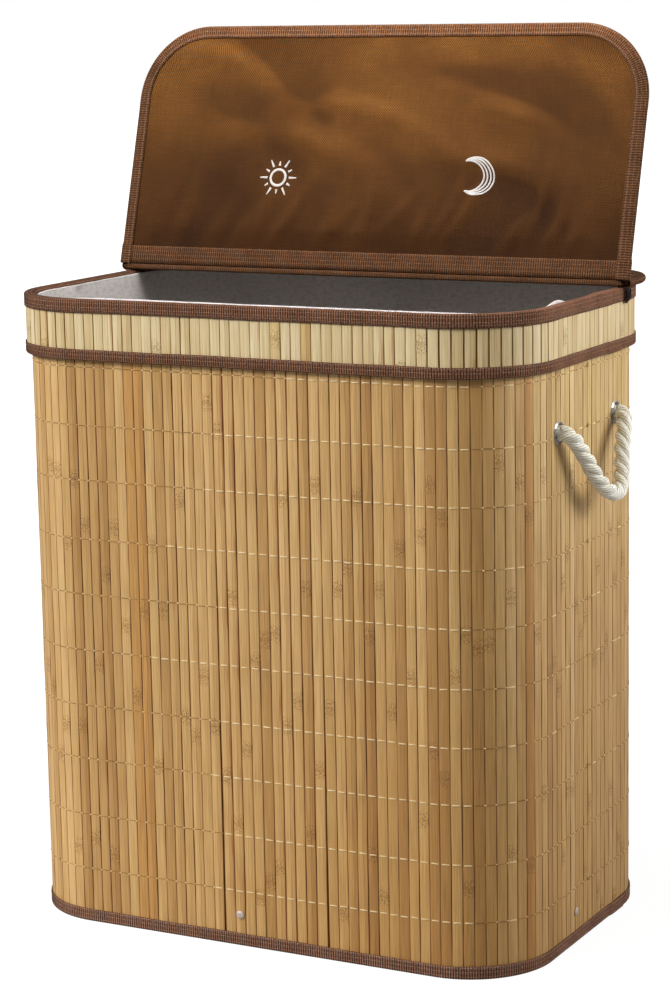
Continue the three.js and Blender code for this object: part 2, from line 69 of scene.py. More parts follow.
# Camera: it stands to the right of the hamper's front and looks a little down on it. Its place and its
# turns were worked out from the hamper's own edges.
camera_turn, camera_tilt, camera_roll = 0.4856, -0.1835, -0.018
bpy.ops.object.camera_add(location=(1.2158, -2.2984, 0.8772))
camera = bpy.context.object
camera.rotation_euler = (
    Matrix.Rotation(camera_turn, 3, "Z")
    @ Matrix.Rotation(math.pi / 2 + camera_tilt, 3, "X")
    @ Matrix.Rotation(camera_roll, 3, "Z")
).to_euler()
camera.data.lens = 99.55
camera.data.sensor_width = 36
bpy.context.scene.camera = camera

# Rope handles: three-strand cotton rope. It comes out of one eyelet, hangs in a loop and goes back into
# the other. Inside the wall each end is made up into a knot that can't slip out through the eyelet.
half_width, half_depth = 262.5 * mm, 167.5 * mm
eyelet_place, eyelet_height = 66.5 * mm, 485 * mm
rope_lay = 42 * mm
strand_radius = 3.86 * mm
strand_offset = 3.7 * mm
yarns, yarn_lay = 6, 38 * mm
rope_ring = 1.3 * mm
loop_route = [
    (-7, 66.5, 0), (-3, 66.5, 0), (1.5, 66.5, 0), (5.5, 66.1, 0.6), (8.8, 64.4, 2.4), (11.6, 61, 5.6),
    (14, 53, 13.8), (17.6, 41, 29.4), (21.4, 31, 44), (25.2, 20, 55), (27.6, 10, 61), (28.2, 0, 62.6),
]  # out from the wall, from the middle of the side, and below the eyelets
rope_ends_at = 1.5 * mm
knot_turns, knot_radius, tail_length = 1.05, 9.2 * mm, 7 * mm
knot_from = 7 * mm  # in from the wall's face
crown_middle, crown_swing, crown_drift = 6.5 * mm, 8.5 * mm, 3 * mm  # further in, as the strands wrap


def smooth_line(points, gap):
    """A Catmull-Rom curve through the points, in steps of about the gap."""
    p = np.array(points, float)
    p = np.vstack([2 * p[0] - p[1], p, 2 * p[-1] - p[-2]])
    t = np.linspace(0, 1, 24, endpoint=False)[:, None]
    pieces = [
        0.5 * (2 * b + (c - a) * t + (2 * a - 5 * b + 4 * c - d) * t**2 + (3 * b - a - 3 * c + d) * t**3)
        for a, b, c, d in zip(p, p[1:], p[2:], p[3:])
    ]
    line = np.vstack([*pieces, p[-2:-1]])
    run = runs_of(line)
    at = np.linspace(0, run[-1], max(round(run[-1] / gap), 2) + 1)
    return np.stack([np.interp(at, run, line[:, k]) for k in range(3)], axis=1)


def runs_of(line):
    """How far along a line each of its points is."""
    return np.r_[0, np.cumsum(np.linalg.norm(np.diff(line, axis=0), axis=1))]


def unit(vectors):
    return vectors / np.maximum(np.linalg.norm(vectors, axis=-1, keepdims=True), 1e-12)


def frames_along(line):
    """The two directions across a line at each of its points, carried along without a twist."""
    ahead = unit(np.gradient(line, axis=0))
    across = np.empty_like(line)
    last = np.array([0.13, 0.21, 1.0])  # no line here runs this way
    for k, way in enumerate(ahead):
        last = unit(last - way * (last @ way))
        across[k] = last
    return across, np.cross(ahead, across)


def loft(name, grid, runs, girths, around=False, caps=False):
    """A skin over a grid of points, each row a section. Its UV map is in metres: run, then girth."""
    rows, columns = grid.shape[:2]
    index = np.arange(rows * columns).reshape(rows, columns)
    if around:
        index = np.hstack([index, index[:, :1]])
    place = np.arange(index.size).reshape(index.shape)
    sides = (place[:-1, :-1], place[:-1, 1:], place[1:, 1:], place[1:, :-1])
    quads = np.stack([a.reshape(-1) for a in sides], axis=1)
    faces = index.reshape(-1)[quads].tolist()
    if caps:
        faces += [index[0, :columns].tolist()[::-1], index[-1, :columns].tolist()]
    mesh = bpy.data.meshes.new(name)
    mesh.from_pydata(grid.reshape(-1, 3).tolist(), [], faces)
    uv = np.stack(np.meshgrid(runs, girths, indexing="ij"), axis=-1).reshape(-1, 2)[quads.reshape(-1)]
    if caps:
        uv = np.vstack([uv, np.zeros((2 * columns, 2))])
    mesh.uv_layers.new(name="UVMap").data.foreach_set("uv", uv.astype(np.float32).reshape(-1))
    piece = bpy.data.objects.new(name, mesh)
    bpy.context.collection.objects.link(piece)
    if caps:
        face_outwards(piece)
    mesh.shade_smooth()
    return piece


def face_outwards(piece):
    """Turns a closed piece's faces outwards if its volume comes out negative."""
    mesh = piece.data
    mesh.calc_loop_triangles()
    corners = np.empty(3 * len(mesh.loop_triangles), np.int32)
    mesh.loop_triangles.foreach_get("vertices", corners)
    a, b, c = points_of(piece)[corners].reshape(-1, 3, 3).transpose(1, 0, 2)
    if (a * np.cross(b, c)).sum() < 0:
        mesh.flip_normals()


def points_of(piece):
    points = np.empty(3 * len(piece.data.vertices), np.float32)
    piece.data.vertices.foreach_get("co", points)
    return points.reshape(-1, 3).astype(float)


def only(*pieces):
    """Selects these pieces alone, the first one active."""
    bpy.ops.object.select_all(action="DESELECT")
    for piece in pieces:
        piece.select_set(True)
    bpy.context.view_layer.objects.active = pieces[0]


def join(name, *pieces):
    only(*pieces)
    if len(pieces) > 1:
        bpy.ops.object.join()
    pieces[0].name = pieces[0].data.name = name
    return pieces[0]


def strand(name, line, sides=18, radius=strand_radius):
    """One strand along a line, with its yarns showing as ridges that wind round it."""
    run = runs_of(line)
    across, over = frames_along(line)
    angle = np.linspace(0, 2 * math.pi, sides, endpoint=False)[None, :]
    wind = 2 * math.pi * run[:, None] / yarn_lay
    size = radius * (1 + 0.045 * np.cos(yarns * angle + wind))
    grid = line[:, None] + size[..., None] * (
        np.cos(angle)[..., None] * across[:, None] + np.sin(angle)[..., None] * over[:, None]
    )
    girths = np.linspace(0, 1, sides + 1)
    return loft(name, grid, around=True, caps=True, runs=run, girths=girths)


def laid_rope(line):
    """The three strands' own lines round the rope's line."""
    across, over = frames_along(line)
    run = runs_of(line)
    lines = []
    for k in range(3):
        turn = (2 * math.pi * (k / 3 - run / rope_lay))[:, None]
        lines.append(line + strand_offset * (np.cos(turn) * across + np.sin(turn) * over))
    return lines


def rgb(code):
    """A colour code as linear red, green, blue and alpha."""
    parts = [int(code[k : k + 2], 16) / 255 for k in (1, 3, 5)]
    return (*((c / 12.92 if c <= 0.04045 else ((c + 0.055) / 1.055) ** 2.4) for c in parts), 1)


def put(tree, kind, inputs=None, **settings):
    """Adds a shader node. An input is a value, or another node's output that is linked to it."""
    made = tree.nodes.new("ShaderNode" + kind)
    for name, value in settings.items():
        setattr(made, name, value)
    for name, value in (inputs or {}).items():
        if isinstance(value, bpy.types.NodeSocket):
            tree.links.new(value, made.inputs[name])
        else:
            made.inputs[name].default_value = value
    return made


def math_of(tree, operation, a, b=0.0, c=0.0):
    return put(tree, "Math", {0: a, 1: b, 2: c}, operation=operation).outputs[0]


def mixed(tree, share, a, b, blend="MIX"):
    made = put(tree, "Mix", data_type="RGBA", blend_type=blend)
    for socket, value in zip((made.inputs[0], made.inputs[6], made.inputs[7]), (share, a, b)):
        if isinstance(value, bpy.types.NodeSocket):
            tree.links.new(value, socket)
        else:
            socket.default_value = value
    return made.outputs[2]


def stretched(tree, value, low, high, to_low=0.0, to_high=1.0, kind="SMOOTHSTEP"):
    """A value spread from one range over another, and held at its ends."""
    inputs = {"Value": value, "From Min": low, "From Max": high, "To Min": to_low, "To Max": to_high}
    return put(tree, "MapRange", inputs, interpolation_type=kind).outputs["Result"]


def noise(tree, place, scale, detail, roughness=0.5):
    inputs = {"Vector": place, "Scale": scale, "Detail": detail, "Roughness": roughness}
    return put(tree, "TexNoise", inputs).outputs["Fac"]


def scaled(tree, place, *scale):
    return put(tree, "Mapping", {"Vector": place, "Scale": scale}).outputs[0]


def finish_of(name, roughness, metallic=0.0, sheen=0.0, coat=0.0, shine=0.5):
    """A new material, with its node tree, its shader, and the two kinds of place that its patterns follow:
    in the object, and along its surface."""
    material = bpy.data.materials.new(name)
    material.use_nodes = True
    tree = material.node_tree
    shader = tree.nodes["Principled BSDF"]
    shader.inputs["Roughness"].default_value = roughness
    shader.inputs["Metallic"].default_value = metallic
    shader.inputs["Sheen Weight"].default_value = sheen
    shader.inputs["Coat Weight"].default_value = coat
    shader.inputs["Specular IOR Level"].default_value = shine
    place = tree.nodes.new("ShaderNodeTexCoord")
    return material, tree, shader, place.outputs["Object"], place.outputs["UV"]


def surface(tree, shader, tone, height, depth, strength=1.0):
    """Gives a shader its colour, and its surface the relief of a height."""
    tree.links.new(tone, shader.inputs["Base Color"])
    made = put(tree, "Bump", {"Height": height, "Distance": depth, "Strength": strength})
    tree.links.new(made.outputs[0], shader.inputs["Normal"])


def paint(piece, material):
    piece.data.materials.clear()
    piece.data.materials.append(material)


def dress(piece, material, body=None, stands_for=()):
    """Gives a finished piece its material, the body it rides on and the nodes it stands for."""
    paint(piece, material)
    if body:
        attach(piece, body)
    if stands_for:
        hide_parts(*stands_for)


cotton, tree, shader, place, along = finish_of("cotton_rope", 0.95, sheen=0.35)
u, v, _ = put(tree, "SeparateXYZ", {0: along}).outputs
lines = math_of(tree, "ADD", math_of(tree, "MULTIPLY", u, 250.0), math_of(tree, "MULTIPLY", v, 9.0))
fibre = math_of(tree, "SINE", math_of(tree, "MULTIPLY", lines, 2 * math.pi))
lint = noise(tree, place, 900.0, 3.0, 0.6)
soft = noise(tree, place, 55.0, 2.0)
tone = mixed(tree, stretched(tree, soft, 0.3, 0.7), rgb("#fbf6e4"), rgb("#fffdf2"))
tone = mixed(tree, stretched(tree, fibre, -1.0, 0.2, 0.55, 0.0), tone, rgb("#a2997c"))
tone = mixed(tree, stretched(tree, lint, 0.5, 0.72, 0.0, 0.3), tone, rgb("#b5ab8d"))
surface(tree, shader, tone, math_of(tree, "MULTIPLY_ADD", fibre, 0.5, lint), 0.4 * mm)

for side, way in (("right", 1), ("left", -1)):
    front = np.array([
        (way * (half_width + out * mm), -y * mm, eyelet_height - drop * mm) for out, y, drop in loop_route
    ])
    back = front[-2::-1] * (1, -1, 1)
    whole = smooth_line([*front, *back], rope_ring)
    out_of_wall = whole[:, 0] * way - half_width
    outside = np.flatnonzero(out_of_wall >= rope_ends_at)
    first, last = outside[0], outside[-1]
    strands = laid_rope(whole)
    loop = join(
        side + "_rope",
        *(strand(f"{side}_strand_{k}", line[first : last + 1]) for k, line in enumerate(strands)),
    )
    dress(loop, cotton, stands_for=[side + "_rope_handle"])
    line = whole[first : last + 1]
    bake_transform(loop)

    # The ends run in through the eyelets. The strands of each wrap round one another in a knot, and a short
    # tail stands out behind it.
    for row, sign in (("front", -1), ("rear", 1)):
        centre = np.array([0.0, sign * eyelet_place, eyelet_height])
        part = slice(0, first + 1) if sign < 0 else slice(last, None)
        strands_in = [line[part] if sign < 0 else line[part][::-1] for line in strands]
        pieces = []
        for k, inner in enumerate(strands_in):
            inner = inner[::-1]  # from the wall's face inwards
            from_face = way * inner[:, 0] - half_width
            inner = inner[from_face > -knot_from]
            first_turn = math.atan2(inner[-1][2] - centre[2], inner[-1][1] - centre[1])
            steps = np.linspace(0, 1, 46)[1:]
            turns = first_turn + steps * 2 * math.pi * knot_turns
            swell = np.sin(math.pi * np.clip(steps * 1.02, 0, 1)) ** 0.6
            away = strand_offset + (knot_radius - strand_offset) * swell
            crown = crown_middle + crown_swing * np.sin(math.pi * (steps - 0.5)) + crown_drift * steps
            depth = way * inner[-1][0] - half_width - crown
            ring_y, ring_z = centre[1] + away * np.cos(turns), centre[2] + away * np.sin(turns)
            wrap = np.stack([way * (half_width + depth), ring_y, ring_z], axis=1)
            tail = wrap[-1] + np.outer(np.linspace(0, 1, 7)[1:], (-way * tail_length, 0, 0))
            knot_line = smooth_line([*inner[::3], *wrap[1::4], *tail[1::2]], rope_ring)
            pieces.append(strand(f"{side}_{row}_knot_{k}", knot_line))
        end = join(f"{side}_{row}_knot", *pieces)
        dress(end, cotton, "body", [f"{side}_{row}_rope_end"])

# Boards, hoop and floor: fibreboard covered with dark brown paper, which is what shows between the
# slats, and bare fibreboard under the bins. A steel hoop stiffens the rim. Their solids are kept.
covered, tree, shader, place, along = finish_of("covered_board", 0.9, shine=0.2)
speckle = noise(tree, place, 700.0, 4.0, 0.65)
cloud = noise(tree, place, 25.0, 2.0)
tone = mixed(tree, stretched(tree, cloud, 0.3, 0.7), rgb("#63390d"), rgb("#774814"))
tone = mixed(tree, stretched(tree, speckle, 0.45, 0.75, 0.0, 0.4), tone, rgb("#3a220c"))
surface(tree, shader, tone, speckle, 0.15 * mm)

bare, tree, shader, place, along = finish_of("bare_board", 0.88)
chips = noise(tree, scaled(tree, place, 1, 0.45, 1), 420.0, 5.0, 0.7)
cloud = noise(tree, place, 18.0, 2.0)
tone = mixed(tree, stretched(tree, cloud, 0.3, 0.7), rgb("#b08f66"), rgb("#c2a37a"))
tone = mixed(tree, stretched(tree, chips, 0.42, 0.68, 0.0, 0.55), tone, rgb("#8a6a44"))
surface(tree, shader, tone, chips, 0.2 * mm)

galvanised, tree, shader, place, along = finish_of("galvanised_steel", 0.42, metallic=1.0)
spangle = put(tree, "TexVoronoi", {"Vector": place, "Scale": 260.0}).outputs["Color"]
flat = put(tree, "SeparateXYZ", {0: spangle}).outputs[0]
tone = mixed(tree, flat, rgb("#8f9294"), rgb("#bfc2c3"))
tree.links.new(tone, shader.inputs["Base Color"])
tree.links.new(math_of(tree, "MULTIPLY_ADD", flat, 0.18, 0.32), shader.inputs["Roughness"])

for name in nodes:
    if name.endswith("_board"):
        paint(nodes[name], bare if name == "floor_board" else covered)
    elif name == "rim_hoop" or name.endswith("_strap"):
        paint(nodes[name], galvanised)

# Slat curtain: split bamboo, planed flat, each slat a little uneven along its edges and marked where its
# joints were. The slats stand side by side round the boards and part at two folds in the front.
corner = 80 * mm
flat_front, flat_side = half_width - corner, half_depth - corner
corner_run = corner * math.pi / 2
quarter_run = flat_front + corner_run + flat_side
once_round = 4 * quarter_run
slat_pitch, slat_gap, slat_thickness = 10.3 * mm, 0.34 * mm, 1.8 * mm
wall_foot, wall_top = 1.1 * mm, 594.6 * mm
fold_gap = 1.2 * mm
left_fold, right_fold = -33 * mm, 76 * mm
folds = ((left_fold, 400 * mm), (right_fold, 330 * mm))  # place, and height where it opens
slat_runs = {
    "front_left_slats": (-quarter_run, left_fold - fold_gap / 2),
    "front_centre_slats": (left_fold + fold_gap / 2, right_fold - fold_gap / 2),
    "front_right_slats": (right_fold + fold_gap / 2, quarter_run),
    "back_slats": (quarter_run, 3 * quarter_run),
}
chance = np.random.default_rng(11)
uv_steps = np.array([0.0173, 0.31])  # from one copy's UV map to the next one's
slat_smoothing = 25  # degrees: less than a step of the rounded edge, so that a slat's face stays flat


def wall_point(run, out):
    """The point in plan at a run round the slats' face, from the middle of the front by the right."""
    run = np.asarray(run, float)
    lap = np.mod(run, once_round)
    quarter = np.minimum(lap // quarter_run, 3)
    along = lap - quarter * quarter_run
    odd = quarter % 2 == 1
    from_middle = np.where(odd, quarter_run - along, along)
    bend = np.clip((from_middle - flat_front) / corner_run, 0, 1) * math.pi / 2
    x = np.minimum(from_middle, flat_front) + (corner + out) * np.sin(bend)
    y = flat_side + (corner + out) * np.cos(bend) - np.maximum(from_middle - flat_front - corner_run, 0)
    in_front = (quarter == 0) | (quarter == 3)
    return np.stack([np.where(quarter < 2, x, -x), np.where(in_front, -y, y)], axis=-1)


def facing(a, b, height):
    """Where a piece stands upright between two points in plan, its face away from the wall."""
    across = Vector((*(b - a), 0)).normalized()
    turn = Matrix((across, Vector((-across.y, across.x, 0)), Vector((0, 0, 1)))).transposed().to_4x4()
    return Matrix.Translation((*((a + b) / 2), height)) @ turn


def edit(piece):
    only(piece)
    bpy.ops.object.mode_set(mode="EDIT")


def done():
    bpy.ops.object.mode_set(mode="OBJECT")


def pick(piece, mode, test):
    """Selects in edit mode the vertices that pass the test, or the edges whose two ends pass it together."""
    done()
    mesh = piece.data
    for part in (mesh.vertices, mesh.edges, mesh.polygons):
        part.foreach_set("select", np.zeros(len(part), bool))
    for part in mesh.edges if mode == "EDGE" else mesh.vertices:
        ends = [mesh.vertices[k].co for k in part.vertices] if mode == "EDGE" else [part.co]
        part.select = test(*ends)
    bpy.context.tool_settings.mesh_select_mode = (mode == "VERT", mode == "EDGE", False)
    bpy.ops.object.mode_set(mode="EDIT")


def cut_across(places, way):
    """Cuts the piece in edit mode across at each place along a direction."""
    for at in places:
        bpy.ops.mesh.select_all(action="SELECT")
        bpy.ops.mesh.bisect(plane_co=Vector(way) * at, plane_no=way)


def model_slat(width, thickness, length, cuts):
    """One slat, standing along Z from 0, its face at Y 0 towards -Y."""
    bpy.ops.object.select_all(action="DESELECT")
    bpy.ops.mesh.primitive_cube_add(size=1, location=(0, thickness / 2, length / 2))
    slat = bpy.context.object
    slat.scale = (width, thickness, length)
    bpy.ops.object.transform_apply(location=True, rotation=True, scale=True)
    pick(slat, "EDGE", lambda a, b: abs(a.x - b.x) < 1e-9 and max(a.y, b.y) < 1e-9)
    bpy.ops.mesh.bevel(offset=0.14 * mm, segments=2)
    cut_across([0.0], (1, 0, 0))
    pick(slat, "VERT", lambda p: abs(p.x) < 1e-6 and p.y < thickness * 0.1)
    bpy.ops.transform.translate(value=(0, -0.03 * mm, 0))
    cut_across(np.linspace(0, length, cuts + 1)[1:-1], (0, 0, 1))
    done()
    return slat


def copies(name, master, places, shape=None, looks=None):
    """One mesh of a master's copies at the given places, in the master's stead. shape may alter each copy
    before it is placed, and looks gives each copy's values of the attributes that its material reads."""
    start = points_of(master)
    count, corners = len(places), len(start)
    each = np.repeat(start[None], count, axis=0)
    if shape is not None:
        each = shape(each)
    turn = np.array([np.array(m)[:3, :3] for m in places])
    move = np.array([np.array(m)[:3, 3] for m in places])
    each = np.einsum("kij,knj->kni", turn, each) + move[:, None]
    mesh = bpy.data.meshes.new(name)
    faces = [list(p.vertices) for p in master.data.polygons]
    all_faces = [[k * corners + v for v in f] for k in range(count) for f in faces]
    mesh.from_pydata(each.reshape(-1, 3).tolist(), [], all_faces)
    flat = start[np.concatenate(faces)][:, [0, 2]]
    spread = flat[None] + np.arange(count)[:, None, None] * uv_steps
    mesh.uv_layers.new(name="UVMap").data.foreach_set("uv", spread.astype(np.float32).reshape(-1))
    for attribute, values in (looks or {}).items():
        made = mesh.attributes.new(attribute, "FLOAT_VECTOR", "CORNER")
        made.data.foreach_set("vector", np.repeat(values, len(flat), axis=0).astype(np.float32).reshape(-1))
    piece = bpy.data.objects.new(name, mesh)
    bpy.context.collection.objects.link(piece)
    bpy.data.objects.remove(master)
    return piece


def soften(piece, angle=40):
    only(piece)
    bpy.ops.object.shade_smooth_by_angle(angle=math.radians(angle))


def row_places(start, end, out, foot):
    """Where the slats of a row between two runs stand: their places, their runs and their width."""
    count = max(round((end - start) / slat_pitch), 1)
    edges = start + (end - start) * np.arange(count + 1) / count
    places = [facing(a, b, foot) for a, b in zip(wall_point(edges[:-1], out), wall_point(edges[1:], out))]
    return places, (edges[:-1] + edges[1:]) / 2, (end - start) / count


def uneven(each, width, knots, wave=0.22 * mm):
    """Makes each copy's edges wander, its thickness vary and its joints swell."""
    count = len(each)
    x, y, z = each[..., 0], each[..., 1], each[..., 2]
    for side in (-1, 1):
        edge = np.clip(side * x / (width / 2), 0, 1)
        drift = np.zeros_like(z)
        for length, share in ((0.19, 0.5), (0.083, 0.3), (0.037, 0.25)):
            phase = chance.uniform(0, 2 * math.pi, (count, 1))
            drift += share * np.sin(2 * math.pi * z / length + phase)
        x += side * edge * (wave * drift - chance.uniform(-0.12 * mm, 0.16 * mm, (count, 1)))
    face = np.clip(1 - y / (0.6 * slat_thickness), 0, 1)
    y += face * chance.uniform(0, 0.18 * mm, (count, 1))
    y += face * 0.09 * mm * np.sin(2 * math.pi * z / 0.14 + chance.uniform(0, 2 * math.pi, (count, 1)))
    for knot in knots.T[..., None]:
        y -= face * 0.22 * mm * np.exp(-(((z - knot) / (9 * mm)) ** 2))
    return each


def slat_looks(count, length, likely=0.85):
    """How far along each slat its joints are, and its look: its tone, its marks and its rust."""
    tone = chance.uniform(0, 1, (count, 3))
    even = 2 * tone[:, 0] - 1
    tone[:, 0] = 0.5 + 0.5 * np.sign(even) * np.abs(even) ** 1.5
    first = chance.uniform(-0.05, length * 0.55, count)
    second = first + chance.uniform(0.2, 0.33, count)
    knots = np.stack([first, second, np.full(count, -1.0)], axis=1)
    knots[chance.uniform(0, 1, count) > likely, 0] = -1
    marks = knots + np.arange(count)[:, None] * uv_steps[1]
    return knots, {"look": tone, "joints": marks}


grain = bpy.data.node_groups.new("bamboo_grain", "ShaderNodeTree")
for name, kind in (("Place", "Vector"), ("Look", "Vector"), ("Joints", "Vector"), ("Ground", "Color")):
    grain.interface.new_socket(name=name, in_out="INPUT", socket_type="NodeSocket" + kind)
for name, kind in (("Colour", "Color"), ("Height", "Float")):
    grain.interface.new_socket(name=name, in_out="OUTPUT", socket_type="NodeSocket" + kind)
given = grain.nodes.new("NodeGroupInput").outputs
fine = noise(grain, scaled(grain, given["Place"], 1, 0.01, 1), 1500.0, 3.0, 0.7)
broad = noise(grain, scaled(grain, given["Place"], 1, 0.022, 1), 640.0, 2.0)
drift = noise(grain, scaled(grain, given["Place"], 1, 0.25, 1), 60.0, 2.0)
blotch = noise(grain, scaled(grain, given["Place"], 1, 0.6, 1), 900.0, 3.0, 0.75)
u, v, _ = put(grain, "SeparateXYZ", {0: given["Place"]}).outputs
look = put(grain, "SeparateXYZ", {0: given["Look"]}).outputs
across = math_of(grain, "WRAP", u, float(uv_steps[0]) / 2, -float(uv_steps[0]) / 2)
wavering = math_of(grain, "MULTIPLY_ADD", math_of(grain, "SUBTRACT", drift, 0.5), 0.005, across)
right_half = stretched(grain, wavering, -0.2 * mm, 0.25 * mm)
split = math_of(grain, "MULTIPLY", stretched(grain, look[1], 0.74, 0.76), right_half)
off_split = math_of(grain, "ABSOLUTE", math_of(grain, "SUBTRACT", wavering, 0.5 * mm))
hairline = stretched(grain, off_split, 0.3 * mm, 0.12 * mm)
hair = math_of(grain, "MULTIPLY", stretched(grain, look[1], 0.62, 0.64), hairline)
right_edge = stretched(grain, wavering, 2.9 * mm, 3.6 * mm)
rusty = math_of(grain, "MULTIPLY", stretched(grain, look[2], 0.88, 0.9), right_edge)
rusty = math_of(grain, "MULTIPLY", rusty, stretched(grain, drift, 0.42, 0.6))
edge_share = stretched(grain, look[1], 0.1, 0.6, 0.4, 1.0, "LINEAR")
# painted shade: each slat's edges turn a saturated dark brown, as the grooves between the slats fall in shade
painted_edge_shade = stretched(grain, math_of(grain, "ABSOLUTE", across), 4.5 * mm, 4.68 * mm)
near_joint, at_joint = 0.0, 0.0
for joint in put(grain, "SeparateXYZ", {0: given["Joints"]}).outputs[:2]:
    gap = math_of(grain, "ABSOLUTE", math_of(grain, "SUBTRACT", v, joint))
    gap = math_of(grain, "MULTIPLY_ADD", math_of(grain, "SUBTRACT", blotch, 0.5), 12 * mm, gap)
    near_joint = math_of(grain, "MAXIMUM", near_joint, stretched(grain, gap, 12 * mm, 6 * mm))
    at_joint = math_of(grain, "MAXIMUM", at_joint, stretched(grain, gap, 1.2 * mm, 0.2 * mm))
tone = given["Ground"]
for mask, tint in (
    (stretched(grain, drift, 0.38, 0.66, 0.0, 0.45), (0.88, 0.84, 0.75, 1)),
    (math_of(grain, "MULTIPLY", split, 0.8), (0.88, 0.83, 0.74, 1)),
    (math_of(grain, "MULTIPLY", hair, 0.75), (0.62, 0.5, 0.32, 1)),
    (stretched(grain, broad, 0.42, 0.68, 0.0, 0.6), (0.86, 0.81, 0.71, 1)),
    (stretched(grain, broad, 0.42, 0.3, 0.0, 0.7), (1.1, 1.11, 1.12, 1)),
    (stretched(grain, fine, 0.48, 0.66), (0.78, 0.71, 0.58, 1)),
    (stretched(grain, fine, 0.48, 0.32, 0.0, 0.9), (1.14, 1.15, 1.17, 1)),
    (math_of(grain, "MULTIPLY", rusty, 0.85), (0.76, 0.55, 0.4, 1)),
    (math_of(grain, "MULTIPLY", near_joint, stretched(grain, blotch, 0.5, 0.56)), (0.52, 0.44, 0.3, 1)),
    (math_of(grain, "MULTIPLY", near_joint, stretched(grain, blotch, 0.47, 0.4)), (1.2, 1.2, 1.16, 1)),
    (math_of(grain, "MULTIPLY", at_joint, 0.6), (0.72, 0.64, 0.5, 1)),
    # painted shade at the slats' edges
    (math_of(grain, "MULTIPLY", painted_edge_shade, edge_share), (0.42, 0.25, 0.02, 1)),
):
    tone = mixed(grain, mask, tone, tint, "MULTIPLY")
relief = math_of(grain, "MULTIPLY_ADD", math_of(grain, "MULTIPLY", near_joint, blotch), 1.6, fine)
relief = math_of(grain, "MULTIPLY_ADD", broad, 0.8, relief)
out = grain.nodes.new("NodeGroupOutput")
grain.links.new(tone, out.inputs["Colour"])
grain.links.new(relief, out.inputs["Height"])


def tone_of(tree, tones):
    """The colour that a piece's copy takes from the tones by the first part of its look, and the look."""
    look = put(tree, "Attribute", attribute_name="look").outputs["Vector"]
    ramp = put(tree, "ValToRGB", {0: put(tree, "SeparateXYZ", {0: look}).outputs[0]})
    stops = ramp.color_ramp.elements
    while len(stops) < len(tones):
        stops.new(0.5)
    for stop, (at, code) in zip(stops, tones):
        stop.position, stop.color = at, rgb(code)
    return ramp.outputs[0], look


def bamboo_of(name, tones, roughness):
    """Split bamboo, with painted shade towards the foot, most of all on the front's right, and painted sheen
    high on the two sides."""
    material, tree, shader, place, along = finish_of(name, roughness, sheen=0.07)
    ground, look = tone_of(tree, tones)
    joints = put(tree, "Attribute", attribute_name="joints").outputs["Vector"]
    group = put(tree, "Group", node_tree=grain)
    sideways, _, height = put(tree, "SeparateXYZ", {0: place}).outputs
    at_side = stretched(tree, math_of(tree, "ABSOLUTE", sideways), 252 * mm, 262 * mm)
    to_right = stretched(tree, sideways, -150 * mm, 150 * mm)
    # painted shade: the slats darker and browner towards the foot, most of all on the front's right
    painted_foot_shade = mixed(tree, to_right, (1, 0.98, 0.93, 1), (0.94, 0.86, 0.7, 1))
    painted_foot_shade = mixed(tree, at_side, painted_foot_shade, (0.98, 0.93, 0.82, 1))
    ground = mixed(tree, stretched(tree, height, 0.42, 0.04), ground, painted_foot_shade, "MULTIPLY")
    # painted sheen: the slats paler and bluer high on the two sides
    painted_side_sheen = math_of(tree, "MULTIPLY", at_side, stretched(tree, height, 0.3, 0.5))
    painted_side_sheen = math_of(tree, "MULTIPLY", painted_side_sheen, stretched(tree, height, 0.545, 0.54))
    ground = mixed(tree, painted_side_sheen, ground, (1.06, 1.2, 1.32, 1), "MULTIPLY")
    for socket, value in (("Place", along), ("Look", look), ("Joints", joints), ("Ground", ground)):
        tree.links.new(value, group.inputs[socket])
    rough = stretched(tree, group.outputs["Height"], 0.2, 1.2, roughness - 0.08, roughness + 0.14)
    tree.links.new(rough, shader.inputs["Roughness"])
    surface(tree, shader, group.outputs["Colour"], group.outputs["Height"], 0.12 * mm, 0.7)
    return material


bamboo = bamboo_of(
    "bamboo",
    [(0, "#a97f45"), (0.1, "#b68e54"), (0.35, "#bf995f"), (0.65, "#c59f66"), (0.9, "#cca872"),
     (0.95, "#bd9152"), (0.98, "#b38342"), (1, "#a87638")],
    0.5,
)
wall_height = wall_top - wall_foot
eyelet_bore, rivet_bore, rivet_height = 9.1 * mm, 2.2 * mm, 30 * mm
front_rivet, side_rivet = -16.6 * mm, -28.8 * mm
eyelet_bores = [
    (side * half_width, end * eyelet_place, eyelet_height, "X", eyelet_bore)
    for side in (-1, 1)
    for end in (-1, 1)
]
bores = eyelet_bores + [
    (front_rivet, -half_depth, rivet_height, "Y", rivet_bore),
    (-front_rivet, half_depth, rivet_height, "Y", rivet_bore),
    (half_width, side_rivet, rivet_height, "X", rivet_bore),
    (-half_width, -side_rivet, rivet_height, "X", rivet_bore),
]


def bored(piece):
    """Cuts the holes for the eyelets and the rivets out of a row of slats."""
    drills = []
    box = np.array(piece.bound_box)
    low, high = box.min(axis=0) - 2 * mm, box.max(axis=0) + 2 * mm
    for x, y, z, way, radius in bores:
        if not (np.less(low, (x, y, z)) & np.less((x, y, z), high)).all():
            continue
        bpy.ops.object.select_all(action="DESELECT")
        turn = (0, math.pi / 2, 0) if way == "X" else (math.pi / 2, 0, 0)
        bpy.ops.mesh.primitive_cylinder_add(
            vertices=24, radius=radius, depth=12 * mm, location=(x, y, z), rotation=turn,
        )
        drills.append(bpy.context.object)
    if not drills:
        return piece
    drill = join("drill", *drills)
    only(piece)
    cut = piece.modifiers.new("bore", "BOOLEAN")
    cut.object, cut.operation, cut.solver = drill, "DIFFERENCE", "EXACT"
    bpy.ops.object.modifier_apply(modifier=cut.name)
    bpy.data.objects.remove(drill)
    return piece


